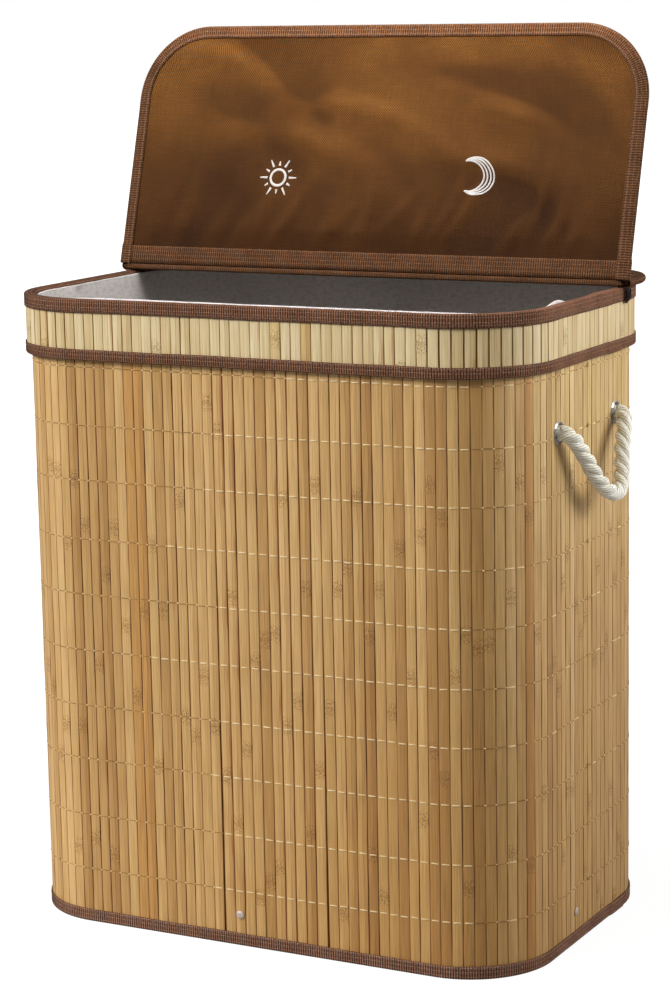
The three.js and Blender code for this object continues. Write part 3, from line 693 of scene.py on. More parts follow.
for name, (start, end) in slat_runs.items():
    places, runs, pitch = row_places(start, end, 0.0, wall_foot)
    width = pitch - slat_gap
    slat = model_slat(width, slat_thickness, wall_height, 40)
    joints, looks = slat_looks(len(places), wall_height)
    look = looks["look"]
    look[(runs > 212 * mm) & (runs < 246 * mm), 0] *= 0.16  # four darker slats on the front right corner
    look[(runs > -125 * mm) & (runs < -109 * mm), 0] = 0.97  # two browner ones on the front's left
    on_right = (runs > 95 * mm) & (runs < 212 * mm)  # the front's right: its slats take darker tones, as painted shade of the light falling off there
    look[on_right, 0] = np.clip(1.3 * look[on_right, 0] - 0.38, 0, 1)
    at_side = np.abs(np.mod(runs, 2 * quarter_run) - quarter_run) < flat_side + 0.3 * corner
    look[at_side, 1] = 0.55 + 0.45 * look[at_side, 1]  # the sides' slats are marked more strongly
    look[at_side, 0] = np.minimum(0.5 + 1.25 * (look[at_side, 0] - 0.5), 0.9)

    def shaped(each):
        """The slats beside a fold close up over it high on the wall and part lower down."""
        each = uneven(each, width, joints)
        for place_of_fold, opens in folds:
            near = np.exp(-(((np.abs(runs - place_of_fold) - 5 * mm) / (24 * mm)) ** 2))[:, None]
            lower = np.clip((opens - each[..., 2]) / opens, 0, 1) ** 0.9
            away = np.sign(runs - place_of_fold)[:, None]
            each[..., 0] += away * near * (lower * 0.75 - 0.6) * mm
        return each

    row = bored(copies(name.replace("_slats", "_curtain"), slat, places, shaped, looks))
    soften(row, slat_smoothing)
    dress(row, bamboo, "body", [name])

# Curtain threads: ten rows of cotton thread weave the slats together. A thread shows as a pale dash
# over a slat or, pulled tight, as a thin line with a pale crossing in the gap beside the slat. The thin
# line's dark brown is painted shade of the cream thread, sunk in its groove.
thread_heights = [z * mm for z in (53, 106.6, 161.8, 214, 267.7, 321.6, 374.4, 430.2, 481.8, 536.4)]
clear_of_eyelet = 14 * mm


def model_dash(length, depth, height, dip):
    """A stitch along X: a rod whose ends taper and dip in."""
    bpy.ops.object.select_all(action="DESELECT")
    bpy.ops.mesh.primitive_cylinder_add(vertices=6, radius=0.5, depth=1, rotation=(0, math.pi / 2, 0))
    dash = bpy.context.object
    dash.scale = (height, depth, length)
    bpy.ops.object.transform_apply(location=True, rotation=True, scale=True)
    edit(dash)
    cut_across([-length * 0.36, 0.0, length * 0.36], (1, 0, 0))
    pick(dash, "VERT", lambda p: abs(p.x) > length * 0.45)
    bpy.ops.transform.resize(value=(1, 0.45, 0.45))
    bpy.ops.transform.translate(value=(0, dip, 0))
    done()
    return dash


def add_weft(kind, place, shade):
    """Notes a bit of thread, one of the three kinds, for the copies below."""
    weft_places[kind].append(place)
    weft_shades[kind].append((shade, 0, 0))


weft_sizes = {"dash": (8.5, 0.95, 1.25, 1.0), "line": (9.3, 0.36, 0.62, 0.2), "dot": (1.9, 1.1, 1.3, 0.3)}
weft_places, weft_shades = {kind: [] for kind in weft_sizes}, {kind: [] for kind in weft_sizes}
for name, (start, end) in slat_runs.items():
    places, runs, pitch = row_places(start, end, 0.0, 0.0)
    for height in thread_heights:
        tight_to = (10 if height > 0.5 else -75) * mm + chance.uniform(-45, 45) * mm  # on the front
        for place_of_slat, run in zip(places, runs):
            x, y, _ = place_of_slat.translation
            if any(math.dist((x, y, height), bore[:3]) < clear_of_eyelet for bore in eyelet_bores):
                continue
            sideways = abs(y) < flat_side + 0.5 * corner
            pulled = (name.startswith("front") and run < tight_to) or (sideways and chance.uniform() < 0.85)
            if 219 * mm < run < 247 * mm:  # on the corner's darker slats
                pulled = True
            lifted = Matrix.Translation((0, -0.14 * mm, height + chance.uniform(-0.35, 0.35) * mm))
            tilt = Matrix.Rotation(chance.uniform(-0.03, 0.03), 4, "Y")
            # painted shade: a thin line takes the thread's dark brown tones, and a dash its cream ones
            shade = chance.uniform(0.6, 1.0) if pulled else chance.uniform(0.0, 0.16)
            add_weft("line" if pulled else "dash", place_of_slat @ lifted @ tilt, shade)
            if pulled:
                beside = Matrix.Translation((pitch / 2, 0.1 * mm, height))
                palest = 0.3 if chance.uniform() < 0.7 else 0.7
                add_weft("dot", place_of_slat @ beside, chance.uniform(0.0, palest))
    for seam in (start, end):
        if abs(abs(seam) - quarter_run) < 1e-6:
            for height in thread_heights:
                seam_place = row_places(seam - 5 * mm, seam + 5 * mm, 0.0, height)[0][0]
                for dx, dz, turned in ((-1.1, 0.5, 0.5), (1.0, -0.4, -0.4), (0.2, 1.3, 1.3)):
                    beside = Matrix.Translation((dx * mm, -0.3 * mm, dz * mm))
                    knotted = beside @ Matrix.Rotation(turned, 4, "Y")
                    add_weft("dot", seam_place @ knotted @ Matrix.Scale(1.35, 4), chance.uniform(0.1, 0.5))


def twist_of(tree, along, pitch):
    """The twist of a thread: a wave over its UV map."""
    u, v, _ = put(tree, "SeparateXYZ", {0: along}).outputs
    turns = math_of(tree, "MULTIPLY", math_of(tree, "ADD", u, v), 2 * math.pi / pitch)
    return math_of(tree, "SINE", turns)


weft, tree, shader, place, along = finish_of("weft_thread", 0.85)
# the ramp's dark end is painted shade of the cream thread, on the thin lines
ground, look = tone_of(tree, [(0, "#ffe9ba"), (0.3, "#f3d391"), (0.6, "#bb8a44"), (1, "#835a20")])
twist = twist_of(tree, along, 0.8 * mm)
tone = mixed(tree, stretched(tree, twist, -1.0, 1.0, 0.3, 0.0), ground, rgb("#5a3f1e"), "MULTIPLY")
surface(tree, shader, tone, twist, 0.1 * mm)
threads = []
for kind, size in weft_sizes.items():
    master = model_dash(*(part * mm for part in size))
    looks = {"look": np.array(weft_shades[kind])}
    threads.append(copies("weft_" + kind, master, weft_places[kind], None, looks))
threads = join("curtain_threads", *threads)
soften(threads, 60)
dress(threads, weft, "body")

# Collar: paler slats than the wall's, side by side on a board of their own round the top of the wall. A
# tape binds their lower ends, and the rim's tape holds their upper ends.
pale_bamboo = bamboo_of(
    "pale_bamboo",
    [(0, "#c1aa7c"), (0.2, "#c8b387"), (0.5, "#ccb98f"), (0.9, "#d1bf99"), (0.96, "#c2a773"), (1, "#bb9d65")],
    0.48,
)
collar_foot, collar_top, collar_face, collar_thickness = 544.3 * mm, 598.8 * mm, 4.8 * mm, 1.3 * mm
collar_slat = slat_pitch - 0.22 * mm
slat = model_slat(collar_slat, collar_thickness, collar_top - collar_foot, 8)
places, runs, pitch = row_places(0.0, once_round, collar_face, collar_foot)
joints, looks = slat_looks(len(places), collar_top - collar_foot, 0.22)
row = copies("collar_band", slat, places, lambda each: uneven(each, collar_slat, joints, 0.2 * mm), looks)
soften(row, slat_smoothing)
dress(row, pale_bamboo, "body", ["collar_slats"])

# Tapes: brown ribbed binding, folded over the foot, the rim and the collar's lower edge. Each is one
# length whose end laps over its start on the right side, and is sewn down along its free edge.
tape_thickness, rib, tape_lap = 0.75 * mm, 2.4 * mm, 24 * mm
stitch_pitch = 3.6 * mm


def folded(outer, inner, edge, reach, outer_round, inner_round):
    """A fold's section, from the outer leg's free edge round to the inner leg's: out and height."""
    way = 1 if reach < 0 else -1
    free = edge + reach
    points = [(outer, h) for h in np.linspace(free, edge - way * outer_round, 5)]
    quarter = np.linspace(0, math.pi / 2, 5)
    for side, size, bend, turns in (
        (outer, outer_round, -1, quarter[1:]), (inner, inner_round, 1, quarter[::-1]),
    ):
        for turn in turns:
            across, up = size * (1 - math.cos(turn)), size * (1 - math.sin(turn))
            points.append((side + bend * across, edge - way * up))
    points += [(inner, h) for h in np.linspace(edge - way * inner_round, free, 5)[1:]]
    return np.array(points)


def ribbed(section, run, seed, lift=0.0, wander=0.35 * mm):
    """Sections along a tape with every second one a rib's crown: offsets and heights, rows by columns.
    Its two free edges wander a little."""
    draw = np.random.default_rng(seed)
    ahead = unit(np.gradient(section, axis=0))
    outward = np.stack([ahead[:, 1], -ahead[:, 0]], axis=1)
    if (outward * (section - section.mean(axis=0))).sum() < 0:
        outward = -outward
    high = np.where(np.arange(len(run)) % 2 == 0, 0.1 * mm, -0.1 * mm) + lift
    rows = section[None] + high[:, None, None] * outward[None]
    for columns in (range(5), range(-1, -6, -1)):
        drift = sum(
            share * np.sin(2 * math.pi * run / length + draw.uniform(0, 6))
            for length, share in ((0.21, 0.5), (0.094, 0.35), (0.041, 0.2))
        )
        for column, fade in zip(columns, np.linspace(1, 0, 5)):
            rows[:, column, 1] += wander * drift * fade
    return rows


def thickened(piece, thickness):
    """Gives a skin its thickness, half to each side."""
    only(piece)
    solid = piece.modifiers.new("thickness", "SOLIDIFY")
    solid.thickness, solid.offset = thickness, 0.0
    bpy.ops.object.modifier_apply(modifier=solid.name)
    return piece


def tape_round(name, section, lap_at, seed):
    """A folded tape once round the wall, from a run to a little past it."""
    total = once_round + tape_lap
    run = np.linspace(0, total, 2 * round(total / rib) + 1)
    lift = 0.85 * mm * np.clip((run - (total - tape_lap - 9 * mm)) / (8 * mm), 0, 1)
    rows = ribbed(section, run, seed, lift)
    plan = wall_point((run + lap_at)[:, None], rows[..., 0])
    grid = np.concatenate([plan, rows[..., 1:]], axis=2)
    return thickened(loft(name, grid, runs=run, girths=runs_of(section)), tape_thickness)


def sewn(name, spots, length):
    """Stitches: one modelled, and a copy at each spot."""
    row = copies(name, model_dash(length, 0.45 * mm, 0.7 * mm, 0.27 * mm), spots)
    soften(row, 60)
    return row


def stitches_round(name, out, height):
    """A row of stitches once round the wall."""
    spots = [
        facing(wall_point(run - 1 * mm, out), wall_point(run + 1 * mm, out), height)
        for run in np.arange(0, once_round, stitch_pitch)
    ]
    return sewn(name, spots, stitch_pitch * 0.8)


def tape_of(name, deep, bright, fleck_code, painted_light_above=None):
    """Ribbed binding tape: painted shade in the groove between the ribs, and pale flecks where yarns cross.
    """
    material, tree, shader, place, along = finish_of(name, 0.85, shine=0.12)
    u, v, _ = put(tree, "SeparateXYZ", {0: along}).outputs
    crown = math_of(tree, "COSINE", math_of(tree, "MULTIPLY", u, 2 * math.pi / rib))
    picks = math_of(tree, "SINE", math_of(tree, "MULTIPLY", v, 2 * math.pi / (0.62 * mm)))
    rows = math_of(tree, "SINE", math_of(tree, "MULTIPLY", v, 2 * math.pi / (4.1 * mm)))
    fleck = noise(tree, scaled(tree, along, 1, 0.7, 1), 950.0, 3.0, 0.65)
    cloud = noise(tree, along, 38.0, 2.0)
    tone = mixed(tree, stretched(tree, cloud, 0.3, 0.7), rgb(deep), rgb(bright))
    # painted shade: the grooves between the ribs darkened
    tone = mixed(tree, stretched(tree, crown, 0.2, -0.7, 0.0, 0.9), tone, rgb("#231108"))
    on_crown = stretched(tree, crown, -0.3, 0.8)
    light_fleck = math_of(tree, "MULTIPLY", stretched(tree, fleck, 0.52, 0.66), on_crown)
    tone = mixed(tree, math_of(tree, "MULTIPLY", light_fleck, 0.75), tone, rgb(fleck_code))
    in_fleck = stretched(tree, fleck, 0.4, 0.55)
    woven_line = math_of(tree, "MULTIPLY", stretched(tree, rows, 0.8, 0.98), in_fleck)
    tone = mixed(tree, math_of(tree, "MULTIPLY", woven_line, 0.4), tone, rgb(fleck_code))
    # painted light: the tape is lighter above a height, where the lamp over the lid falls on it
    if painted_light_above:
        height = put(tree, "SeparateXYZ", {0: place}).outputs[2]
        above = stretched(tree, height, painted_light_above, painted_light_above + 40 * mm)
        tone = mixed(tree, above, tone, (1.75, 1.72, 1.8, 1), "MULTIPLY")
    raised = math_of(tree, "MULTIPLY_ADD", crown, 0.8, fleck)
    surface(tree, shader, tone, math_of(tree, "MULTIPLY_ADD", picks, 0.3, raised), 0.14 * mm)
    return material


brown_tape = tape_of("brown_tape", "#66432e", "#79523b", "#b08a74")
# The foot's tape is the same binding as the rim's in lighter tones: painted light from the white floor below
# it.
foot_tape = tape_of("foot_tape", "#79533f", "#8d6550", "#c29d87")
# The lid's tape takes painted light above 795 mm.
lid_tape = tape_of("lid_tape", "#4e3019", "#603e26", "#8c6a4a", painted_light_above=795 * mm)


def thread_of(name, roughness, shine, pitch, deep, bright, depth):
    """Twisted sewing thread."""
    material, tree, shader, place, along = finish_of(name, roughness, shine=shine)
    twist = twist_of(tree, along, pitch)
    tone = mixed(tree, stretched(tree, twist, -1.0, 1.0), rgb(deep), rgb(bright))
    surface(tree, shader, tone, twist, depth)
    return material


brown_thread = thread_of("brown_thread", 0.75, 0.3, 0.5 * mm, "#5c4030", "#8f6f5a", 0.08 * mm)
rim_section = folded(5.5 * mm, -4.9 * mm, 599.3 * mm, -11.8 * mm, 1.2 * mm, 3 * mm)
collar_section = folded(5.5 * mm, 0.8 * mm, 543.5 * mm, 10.2 * mm, 1.6 * mm, 1.6 * mm)
foot_section = folded(0.8 * mm, -4.9 * mm, 0.4 * mm, 11.8 * mm, 1.6 * mm, 1.6 * mm)
for name, section, lap_at, seed, material in (
    ("rim", rim_section, 19, 3, brown_tape),
    ("collar", collar_section, 43, 4, brown_tape),
    ("foot", foot_section, 60, 5, foot_tape),
):
    tape = tape_round(name + "_binding", section, quarter_run + lap_at * mm, seed)
    dress(tape, material, "body", [name + "_tape"])
    out, height = section[0]
    inward = 2.4 * mm if name == "rim" else -2.4 * mm
    row = stitches_round(name + "_stitches", out + 0.45 * mm, height + inward)
    dress(row, brown_thread, "body")

# Eyelets, washers and rivets: nickelled steel, the rivets duller. The eyelets and their washers line the
# ropes' holes, and the rivets hold the floor's straps. Their solids are kept, and take their finish here.
nickel, tree, shader, place, along = finish_of("nickelled_steel", 0.3, metallic=1.0, coat=0.1)
smear = noise(tree, place, 320.0, 3.0)
tone = mixed(tree, smear, rgb("#8d877d"), rgb("#b8b1a6"))
tree.links.new(tone, shader.inputs["Base Color"])
tree.links.new(math_of(tree, "MULTIPLY_ADD", smear, 0.16, 0.2), shader.inputs["Roughness"])
dull, tree, shader, place, along = finish_of("dull_rivet", 0.42, metallic=0.5)
smear = noise(tree, place, 900.0, 3.0)
surface(tree, shader, mixed(tree, smear, rgb("#b3a49b"), rgb("#d9cbc2")), smear, 0.05 * mm)
for name in nodes:
    if name.endswith(("_eyelet", "_washer", "_rivet")):
        paint(nodes[name], dull if name.endswith("_rivet") else nickel)

# Liner: a bag of pale woven cloth that hangs inside the boards on two hook-and-loop strips. Its hem is
# turned out over itself at the rim, the four knots press into it, and it sags in soft upright folds.
liner_out, liner_floor = -8.3 * mm, 6.8 * mm
hem_out, hem_foot, hem_bend, hem_top = -6.4 * mm, 586.5 * mm, 590 * mm, 599.7 * mm
pucker_at, pucker_high, pucker_long = 342 * mm, 4 * mm, 17 * mm  # the one pucker of the hem, on the right
foot_turn, foot_tall, foot_in = 20 * mm, 14 * mm, 12 * mm  # the round between the bag's side and its floor
folds_grow, folds_end, folds_fade = 90 * mm, 8 * mm, 30 * mm  # below the hem, and above the floor
broad_fold, fine_fold = 1.5 * mm, 1.1 * mm
dome_high, dome_radius = 30 * mm, 23 * mm  # where a knot lies in the cloth
tent_high, tent_radius, tent_sunk = 32.5 * mm, 27 * mm, 2.2 * mm  # the cloth round it


def ridges(run, seed, lengths, period=None):
    """A soft uneven wave along a run, from -1 to 1."""
    draw = np.random.default_rng(seed)
    total = 0
    for length in lengths:
        if period:
            length = period / max(round(period / length), 1)
        total = total + np.sin(2 * math.pi * run / length + draw.uniform(0, 6)) * draw.uniform(0.6, 1)
    return total / len(lengths)


lap_run = np.linspace(0, once_round, 401)[:-1]
on_wall = wall_point(lap_run, 0.0)
heights = np.r_[np.linspace(596, 20, 74), 13, 9, 7.3] * mm
hem_line = [
    (hem_out, hem_foot), (hem_out, hem_bend), (hem_out, 595 * mm), (hem_out - 0.1 * mm, hem_top - 1.2 * mm),
    (hem_out - 0.9 * mm, hem_top), (liner_out + 0.1 * mm, hem_top - 0.6 * mm),
]
rows = []
hem_wave = ridges(lap_run, 21, (170 * mm, 71 * mm, 33 * mm), once_round)
for out, height in hem_line:
    near_top = max(0.0, (height - hem_bend) / (10 * mm))
    pucker = pucker_high * np.exp(-(((lap_run - pucker_at) / pucker_long) ** 2))
    plan = wall_point(lap_run, out - near_top * 0.4 * mm * np.abs(hem_wave))
    low_left = 3.2 * mm * np.clip((-plan[:, 0] - 160 * mm) / (90 * mm), 0, 1)
    low_right = 2.6 * mm * np.clip((plan[:, 0] - 200 * mm) / (55 * mm), 0, 1)
    lifted = height + near_top * (0.3 * mm * hem_wave + pucker - low_left - low_right)
    rows.append(np.column_stack([plan, lifted]))
for height in heights:
    fade = np.clip((hem_bend - height) / folds_grow, 0, 1)
    fade = fade * np.clip((height - folds_end) / folds_fade, 0, 1)
    lean = lap_run + 0.06 * (600 * mm - height) * np.sin(2 * math.pi * lap_run / (2 * quarter_run))
    folds_in = broad_fold * (1 + ridges(lean, 5, (260 * mm, 117 * mm, 64 * mm), once_round))
    fine_share = 0.4 + 0.6 * np.sin(height / (190 * mm)) ** 2
    folds_in = folds_in + fine_fold * (1 + ridges(lean, 8, (43 * mm, 29 * mm), once_round)) * fine_share
    into = liner_out - fade * folds_in
    if height <= foot_turn:
        share = (foot_turn - height) / foot_tall
        into = into - (1 - math.sqrt(max(0.0, 1 - share**2))) * foot_in
    plan = wall_point(lap_run, into)
    above = height - eyelet_height
    for sign_x in (-1, 1):
        for sign_y in (-1, 1):  # a knot presses the cloth in, which hangs from it like a tent
            aside = on_wall[:, 1] - sign_y * eyelet_place
            from_knot = np.hypot(aside, above)
            from_knot[on_wall[:, 0] * sign_x < half_width - 30 * mm] = 1.0
            spread = np.hypot(aside, above * (0.7 if above < 0 else 1))
            dome = dome_high * np.sqrt(np.clip(1 - (from_knot / dome_radius) ** 2, 0, 1))
            tent = tent_high / (1 + (spread / tent_radius) ** 2) - tent_sunk
            reach = half_width - (np.maximum(dome, tent) - liner_out)
            pressed = sign_x * np.minimum(sign_x * plan[:, 0], reach)
            plan[:, 0] = np.where(from_knot < 90 * mm, pressed, plan[:, 0])
    rows.append(np.column_stack([plan, np.full(len(lap_run), height)]))
edge = rows[-1]
spine = np.zeros((len(edge), 3))
spine[:, 0], spine[:, 2] = np.clip(edge[:, 0], -95 * mm, 95 * mm), liner_floor
for share in np.linspace(0, 1, 15)[1:]:
    floor_row = edge * (1 - share) + spine * share
    floor_row[:, 2] = liner_floor + 0.5 * mm * (1 - share)
    rows.append(floor_row)
grid = np.array(rows)
girth = runs_of(grid[:, 30])
bag = loft("liner", grid, around=True, runs=girth, girths=np.r_[lap_run, once_round])
edit(bag)
bpy.ops.mesh.select_all(action="SELECT")
bpy.ops.mesh.remove_doubles(threshold=0.02 * mm)
bpy.ops.mesh.dissolve_degenerate()
done()
thickened(bag, 0.9 * mm)

weave = bpy.data.node_groups.new("plain_weave", "ShaderNodeTree")
for name, kind in (("Place", "Vector"), ("Pitch", "Float")):
    weave.interface.new_socket(name=name, in_out="INPUT", socket_type="NodeSocket" + kind)
for name in ("Height", "Over", "Slub"):
    weave.interface.new_socket(name=name, in_out="OUTPUT", socket_type="NodeSocketFloat")
given = weave.nodes.new("NodeGroupInput").outputs
u, v, _ = put(weave, "SeparateXYZ", {0: given["Place"]}).outputs
waves = []
for part in (u, v):
    turns = math_of(weave, "DIVIDE", part, given["Pitch"])
    waves.append(math_of(weave, "SINE", math_of(weave, "MULTIPLY", turns, 2 * math.pi)))
over = math_of(weave, "MULTIPLY", *waves)
slub_across = noise(weave, scaled(weave, given["Place"], 1, 0.04, 1), 900.0, 2.0)
slub_along = noise(weave, scaled(weave, given["Place"], 0.04, 1, 1), 900.0, 2.0)
slub = math_of(weave, "MULTIPLY", math_of(weave, "ADD", slub_across, slub_along), 0.5)
out = weave.nodes.new("NodeGroupOutput")
raised = math_of(weave, "MULTIPLY_ADD", slub, 0.9, over)
for name, value in (("Height", raised), ("Over", over), ("Slub", slub)):
    weave.links.new(value, out.inputs[name])


def cloth_of(name, deep, bright, mottled, pitch, roughness, depth, worn=0.0, painted_shade_heights=None, painted_fold_light_and_shade=False):
    """Plain woven cloth. worn lets its dark ground show in specks. Two heights give it painted shade, darker
    from the first down to the second, and it can take painted light on its folds' crowns and painted shade
    in their hollows."""
    material, tree, shader, place, along = finish_of(name, roughness, shine=0.1)
    group = put(tree, "Group", node_tree=weave)
    tree.links.new(along, group.inputs["Place"])
    group.inputs["Pitch"].default_value = pitch
    cloud = noise(tree, along, 14.0, 3.0)
    tone = mixed(tree, stretched(tree, group.outputs["Over"], -0.6, 0.6), rgb(deep), rgb(bright))
    tone = mixed(tree, stretched(tree, group.outputs["Slub"], 0.4, 0.62, 0.0, 0.35), tone, rgb(bright))
    tone = mixed(tree, stretched(tree, cloud, 0.35, 0.7, 0.0, 0.6), tone, rgb(mottled))
    if worn:
        speckle = noise(tree, scaled(tree, along, 1, 0.45, 1), 330.0, 3.0, 0.7)
        tone = mixed(tree, stretched(tree, speckle, 0.46, 0.66, 0.0, worn), tone, rgb(deep))
    # painted light and shade: the folds' crowns paler and bluer, their hollows darker
    if painted_fold_light_and_shade:
        relief = put(tree, "Attribute", attribute_name="relief").outputs["Fac"]
        tone = mixed(tree, stretched(tree, relief, 0.1, -0.45), tone, (0.64, 0.61, 0.58, 1), "MULTIPLY")
        tone = mixed(tree, stretched(tree, relief, 0.15, 0.9), tone, (1.27, 1.3, 1.45, 1), "MULTIPLY")
    # painted shade: darker from the first height down to the second
    if painted_shade_heights:
        height = put(tree, "SeparateXYZ", {0: place}).outputs[2]
        tone = mixed(tree, stretched(tree, height, *painted_shade_heights), tone, (0.33, 0.28, 0.2, 1), "MULTIPLY")
    surface(tree, shader, tone, group.outputs["Height"], depth, 0.8)
    return material


liner_cloth = cloth_of("liner_cloth", "#a9a29d", "#e2ddda", "#c4beba", 1.9 * mm, 0.92, 0.25 * mm, worn=0.6)
dress(bag, liner_cloth, "body", ["liner_bag"])

# Divider: a panel of the same cloth, sewn down the middle of the bag's front and back, so that it parts the
# two bins. Its top has a doubled hem.
divider_half, divider_foot, divider_top = 157 * mm, 8 * mm, 555 * mm
across = np.linspace(-divider_half, divider_half, 64)
up = np.r_[np.linspace(divider_foot, divider_top - 12 * mm, 80), divider_top - np.array([9, 1, 0]) * mm]
grid = np.empty((len(up), len(across), 3))
middle = np.cos(across / divider_half * math.pi / 2) ** 0.6
for k, height in enumerate(up):
    rise = np.sin(height / divider_top * math.pi)
    sway = 5.5 * mm * rise * np.sin(across / divider_half * 2.1 + 1.1)
    crumple = 2.2 * mm * ridges(across + 0.35 * height, 31, (96 * mm, 55 * mm, 37 * mm)) * rise**0.5
    sag = 3 * mm * (1 - (across / divider_half) ** 2) * (height / divider_top) ** 6
    grid[k] = np.column_stack([(sway + crumple) * middle, across, height - sag])
divider = thickened(loft("divider", grid, runs=up, girths=across), 1.1 * mm)
hem_fold = ((1.35, -12), (1.35, -1.2), (0.8, 0.1), (0, 0.4), (-0.8, 0.1), (-1.35, -1.2), (-1.35, -12))
hem = np.array([grid[-1] + (wide * mm, 0, high * mm) for wide, high in hem_fold])
divider_hem = thickened(loft("divider_hem", hem, runs=runs_of(hem[:, 0]), girths=across), 0.5 * mm)
for piece, stands_for in ((divider, ["liner_divider"]), (divider_hem, [])):
    dress(piece, liner_cloth, "body", stands_for)

# Hook-and-loop strips: white napped tape, sewn to the bag and pressed on the front and back boards. They
# hold the liner up, and let it be pulled off for washing.
strip_half, strip_foot, strip_height, strip_depth = 170.5 * mm, 560 * mm, 20 * mm, 2.7 * mm
strip_cuts = np.linspace(-strip_half, strip_half, 36)[1:-1]
hook_tape, tree, shader, place, along = finish_of("hook_tape", 0.95, sheen=0.3)
hooks = put(tree, "TexVoronoi", {"Vector": place, "Scale": 900.0}).outputs["Distance"]
tone = mixed(tree, stretched(tree, hooks, 0.1, 0.6), rgb("#f2f1ee"), rgb("#cfccc6"))
surface(tree, shader, tone, hooks, 0.4 * mm)
for face, sign in (("front", -1), ("back", 1)):
    bpy.ops.object.select_all(action="DESELECT")
    middle = (0, sign * (half_depth - 4.5 * mm - strip_depth / 2), strip_foot + strip_height / 2)
    bpy.ops.mesh.primitive_cube_add(size=1, location=middle)
    strip = bpy.context.object
    strip.scale = (2 * strip_half, strip_depth, strip_height)
    bpy.ops.object.transform_apply(location=True, rotation=True, scale=True)
    edit(strip)
    bpy.ops.mesh.select_all(action="SELECT")
    bpy.ops.mesh.bevel(offset=0.7 * mm, segments=2)
    cut_across(strip_cuts, (1, 0, 0))
    for at in strip_cuts[1::2]:
        pick(strip, "VERT", lambda p: abs(p.x - at) < 1e-6)
        bpy.ops.transform.resize(value=(1, 0.94, 0.99), center_override=(at, *middle[1:]))
    done()
    soften(strip)
    strip.name = strip.data.name = face + "_hook_band"
    dress(strip, hook_tape, "body", [face + "_hook_strip"])

# Rear panel and lid: a stiff board between slats outside and brown cloth inside, with a ribbed tape
# folded over the edge. Both are made flat, from the hinge line outwards, and then put in place.
panel_half, panel_corner, panel_face = 274.1 * mm, 74 * mm, 3.65 * mm
hinge_gap, rear_reach, lid_reach = 3.2 * mm, 102.8 * mm, 245.7 * mm
rear_place = Matrix.Translation(np.array([0.0, 70.6, 603.95]) * mm)
lid_opening = math.radians(106.3)  # from closed
lid_place = rear_place @ Matrix.Rotation(-lid_opening, 4, "X") @ Matrix.Rotation(math.pi, 4, "Z")
edge_round = 3.25 * mm


def put_in_place(piece, place):
    """Moves a piece from where it was made to its place, in its mesh."""
    piece.data.transform(place)
    piece.data.update()
    return piece


def panel_edge(far, step):
    """Points along a panel's outline from its right near corner by the far edge to its left, the directions
    inwards, and the runs."""
    turn = np.linspace(0, math.pi / 2, 40)
    right = panel_half - panel_corner
    top = far - panel_corner
    corner_of = np.column_stack([right + panel_corner * np.cos(turn), top + panel_corner * np.sin(turn)])
    other_side = corner_of[::-1] * (-1, 1)
    line = np.vstack([[panel_half, hinge_gap], corner_of, other_side, [-panel_half, hinge_gap]])
    run = runs_of(line)
    at = np.linspace(0, run[-1], 2 * round(run[-1] / step) + 1)
    line = np.stack([np.interp(at, run, line[:, k]) for k in range(2)], axis=1)
    ahead = unit(np.gradient(line, axis=0))
    return line, np.stack([-ahead[:, 1], ahead[:, 0]], axis=1), at


def fold_round(width):
    """A tape's section folded over a panel's edge: distance in from the edge, and height."""
    points = [(inward, edge_round) for inward in np.linspace(width, edge_round, 5)]
    for turn in np.linspace(0, math.pi, 9)[1:-1]:
        points.append((edge_round - edge_round * math.sin(turn), edge_round * math.cos(turn)))
    points += [(inward, -edge_round) for inward in np.linspace(edge_round, width, 5)]
    return np.array(points)


def edge_binding(name, far, near_width):
    """The tape over a panel's two sides and far edge. Its ends lie over the near edge's tape."""
    section = fold_round(12.5 * mm)
    line, inwards, run = panel_edge(far, rib)
    lift = 0.75 * mm * np.clip((near_width - (line[:, 1] - hinge_gap)) / (3 * mm) + 1, 0, 1)
    rows = ribbed(section, run, 7, lift, wander=0.0)
    sway = 0.3 * mm * ridges(run, 7, (150 * mm, 67 * mm, 31 * mm))
    rows[:, :3, 0] += sway[:, None]
    rows[:, -3:, 0] += sway[::-1, None]
    grid = np.concatenate([line[:, None] + rows[..., :1] * inwards[:, None], rows[..., 1:]], axis=2)
    return thickened(loft(name, grid, runs=run, girths=runs_of(section)), tape_thickness)


def near_binding(name, width, slant):
    """The tape over a panel's near edge, straight across. Its ribs may lie at a slant."""
    section = fold_round(width)
    reach = panel_half - 1.2 * mm
    run = np.linspace(-reach, reach, 2 * round(2 * reach / rib) + 1)
    rows = ribbed(section, run, 9, wander=0.0)
    girth = runs_of(section)
    x = np.clip(run[:, None] + slant * (girth - girth[-1])[None], -reach, reach)
    grid = np.stack([x, hinge_gap + rows[..., 0], rows[..., 1]], axis=2)
    return thickened(loft(name, grid, runs=run, girths=girth), tape_thickness)


def panel_slats(name, far):
    """Slats side by side on a panel's outer face, cut round at its two far corners."""
    inset = 2.8 * mm
    count = round((far - hinge_gap - 2 * inset) / slat_pitch)
    pitch = (far - hinge_gap - 2 * inset) / count
    width, length = pitch - 0.9 * mm, 2 * (panel_half - inset)
    slat = model_slat(width, 1.4 * mm, length, 40)
    lay = Matrix(((0, 0, -1, 0), (1, 0, 0, 0), (0, -1, 0, 0), (0, 0, 0, 1)))
    middles = hinge_gap + inset + pitch * (np.arange(count) + 0.5)
    places = [Matrix.Translation((length / 2, y, 2.5 * mm)) @ lay for y in middles]
    joints, looks = slat_looks(count, length)

    def trimmed(each):
        each = uneven(each, width, joints)
        y = middles[:, None] + each[..., 0]
        past = np.clip(y - (far - panel_corner), 0, panel_corner - inset)
        reach = panel_half - panel_corner + np.sqrt((panel_corner - inset) ** 2 - past**2)
        each[..., 2] = length / 2 - np.clip(length / 2 - each[..., 2], -reach, reach)
        return each

    row = copies(name, slat, places, trimmed, looks)
    soften(row, slat_smoothing)
    return row


lining_inset, lining_level = 3.4 * mm, -2.3 * mm


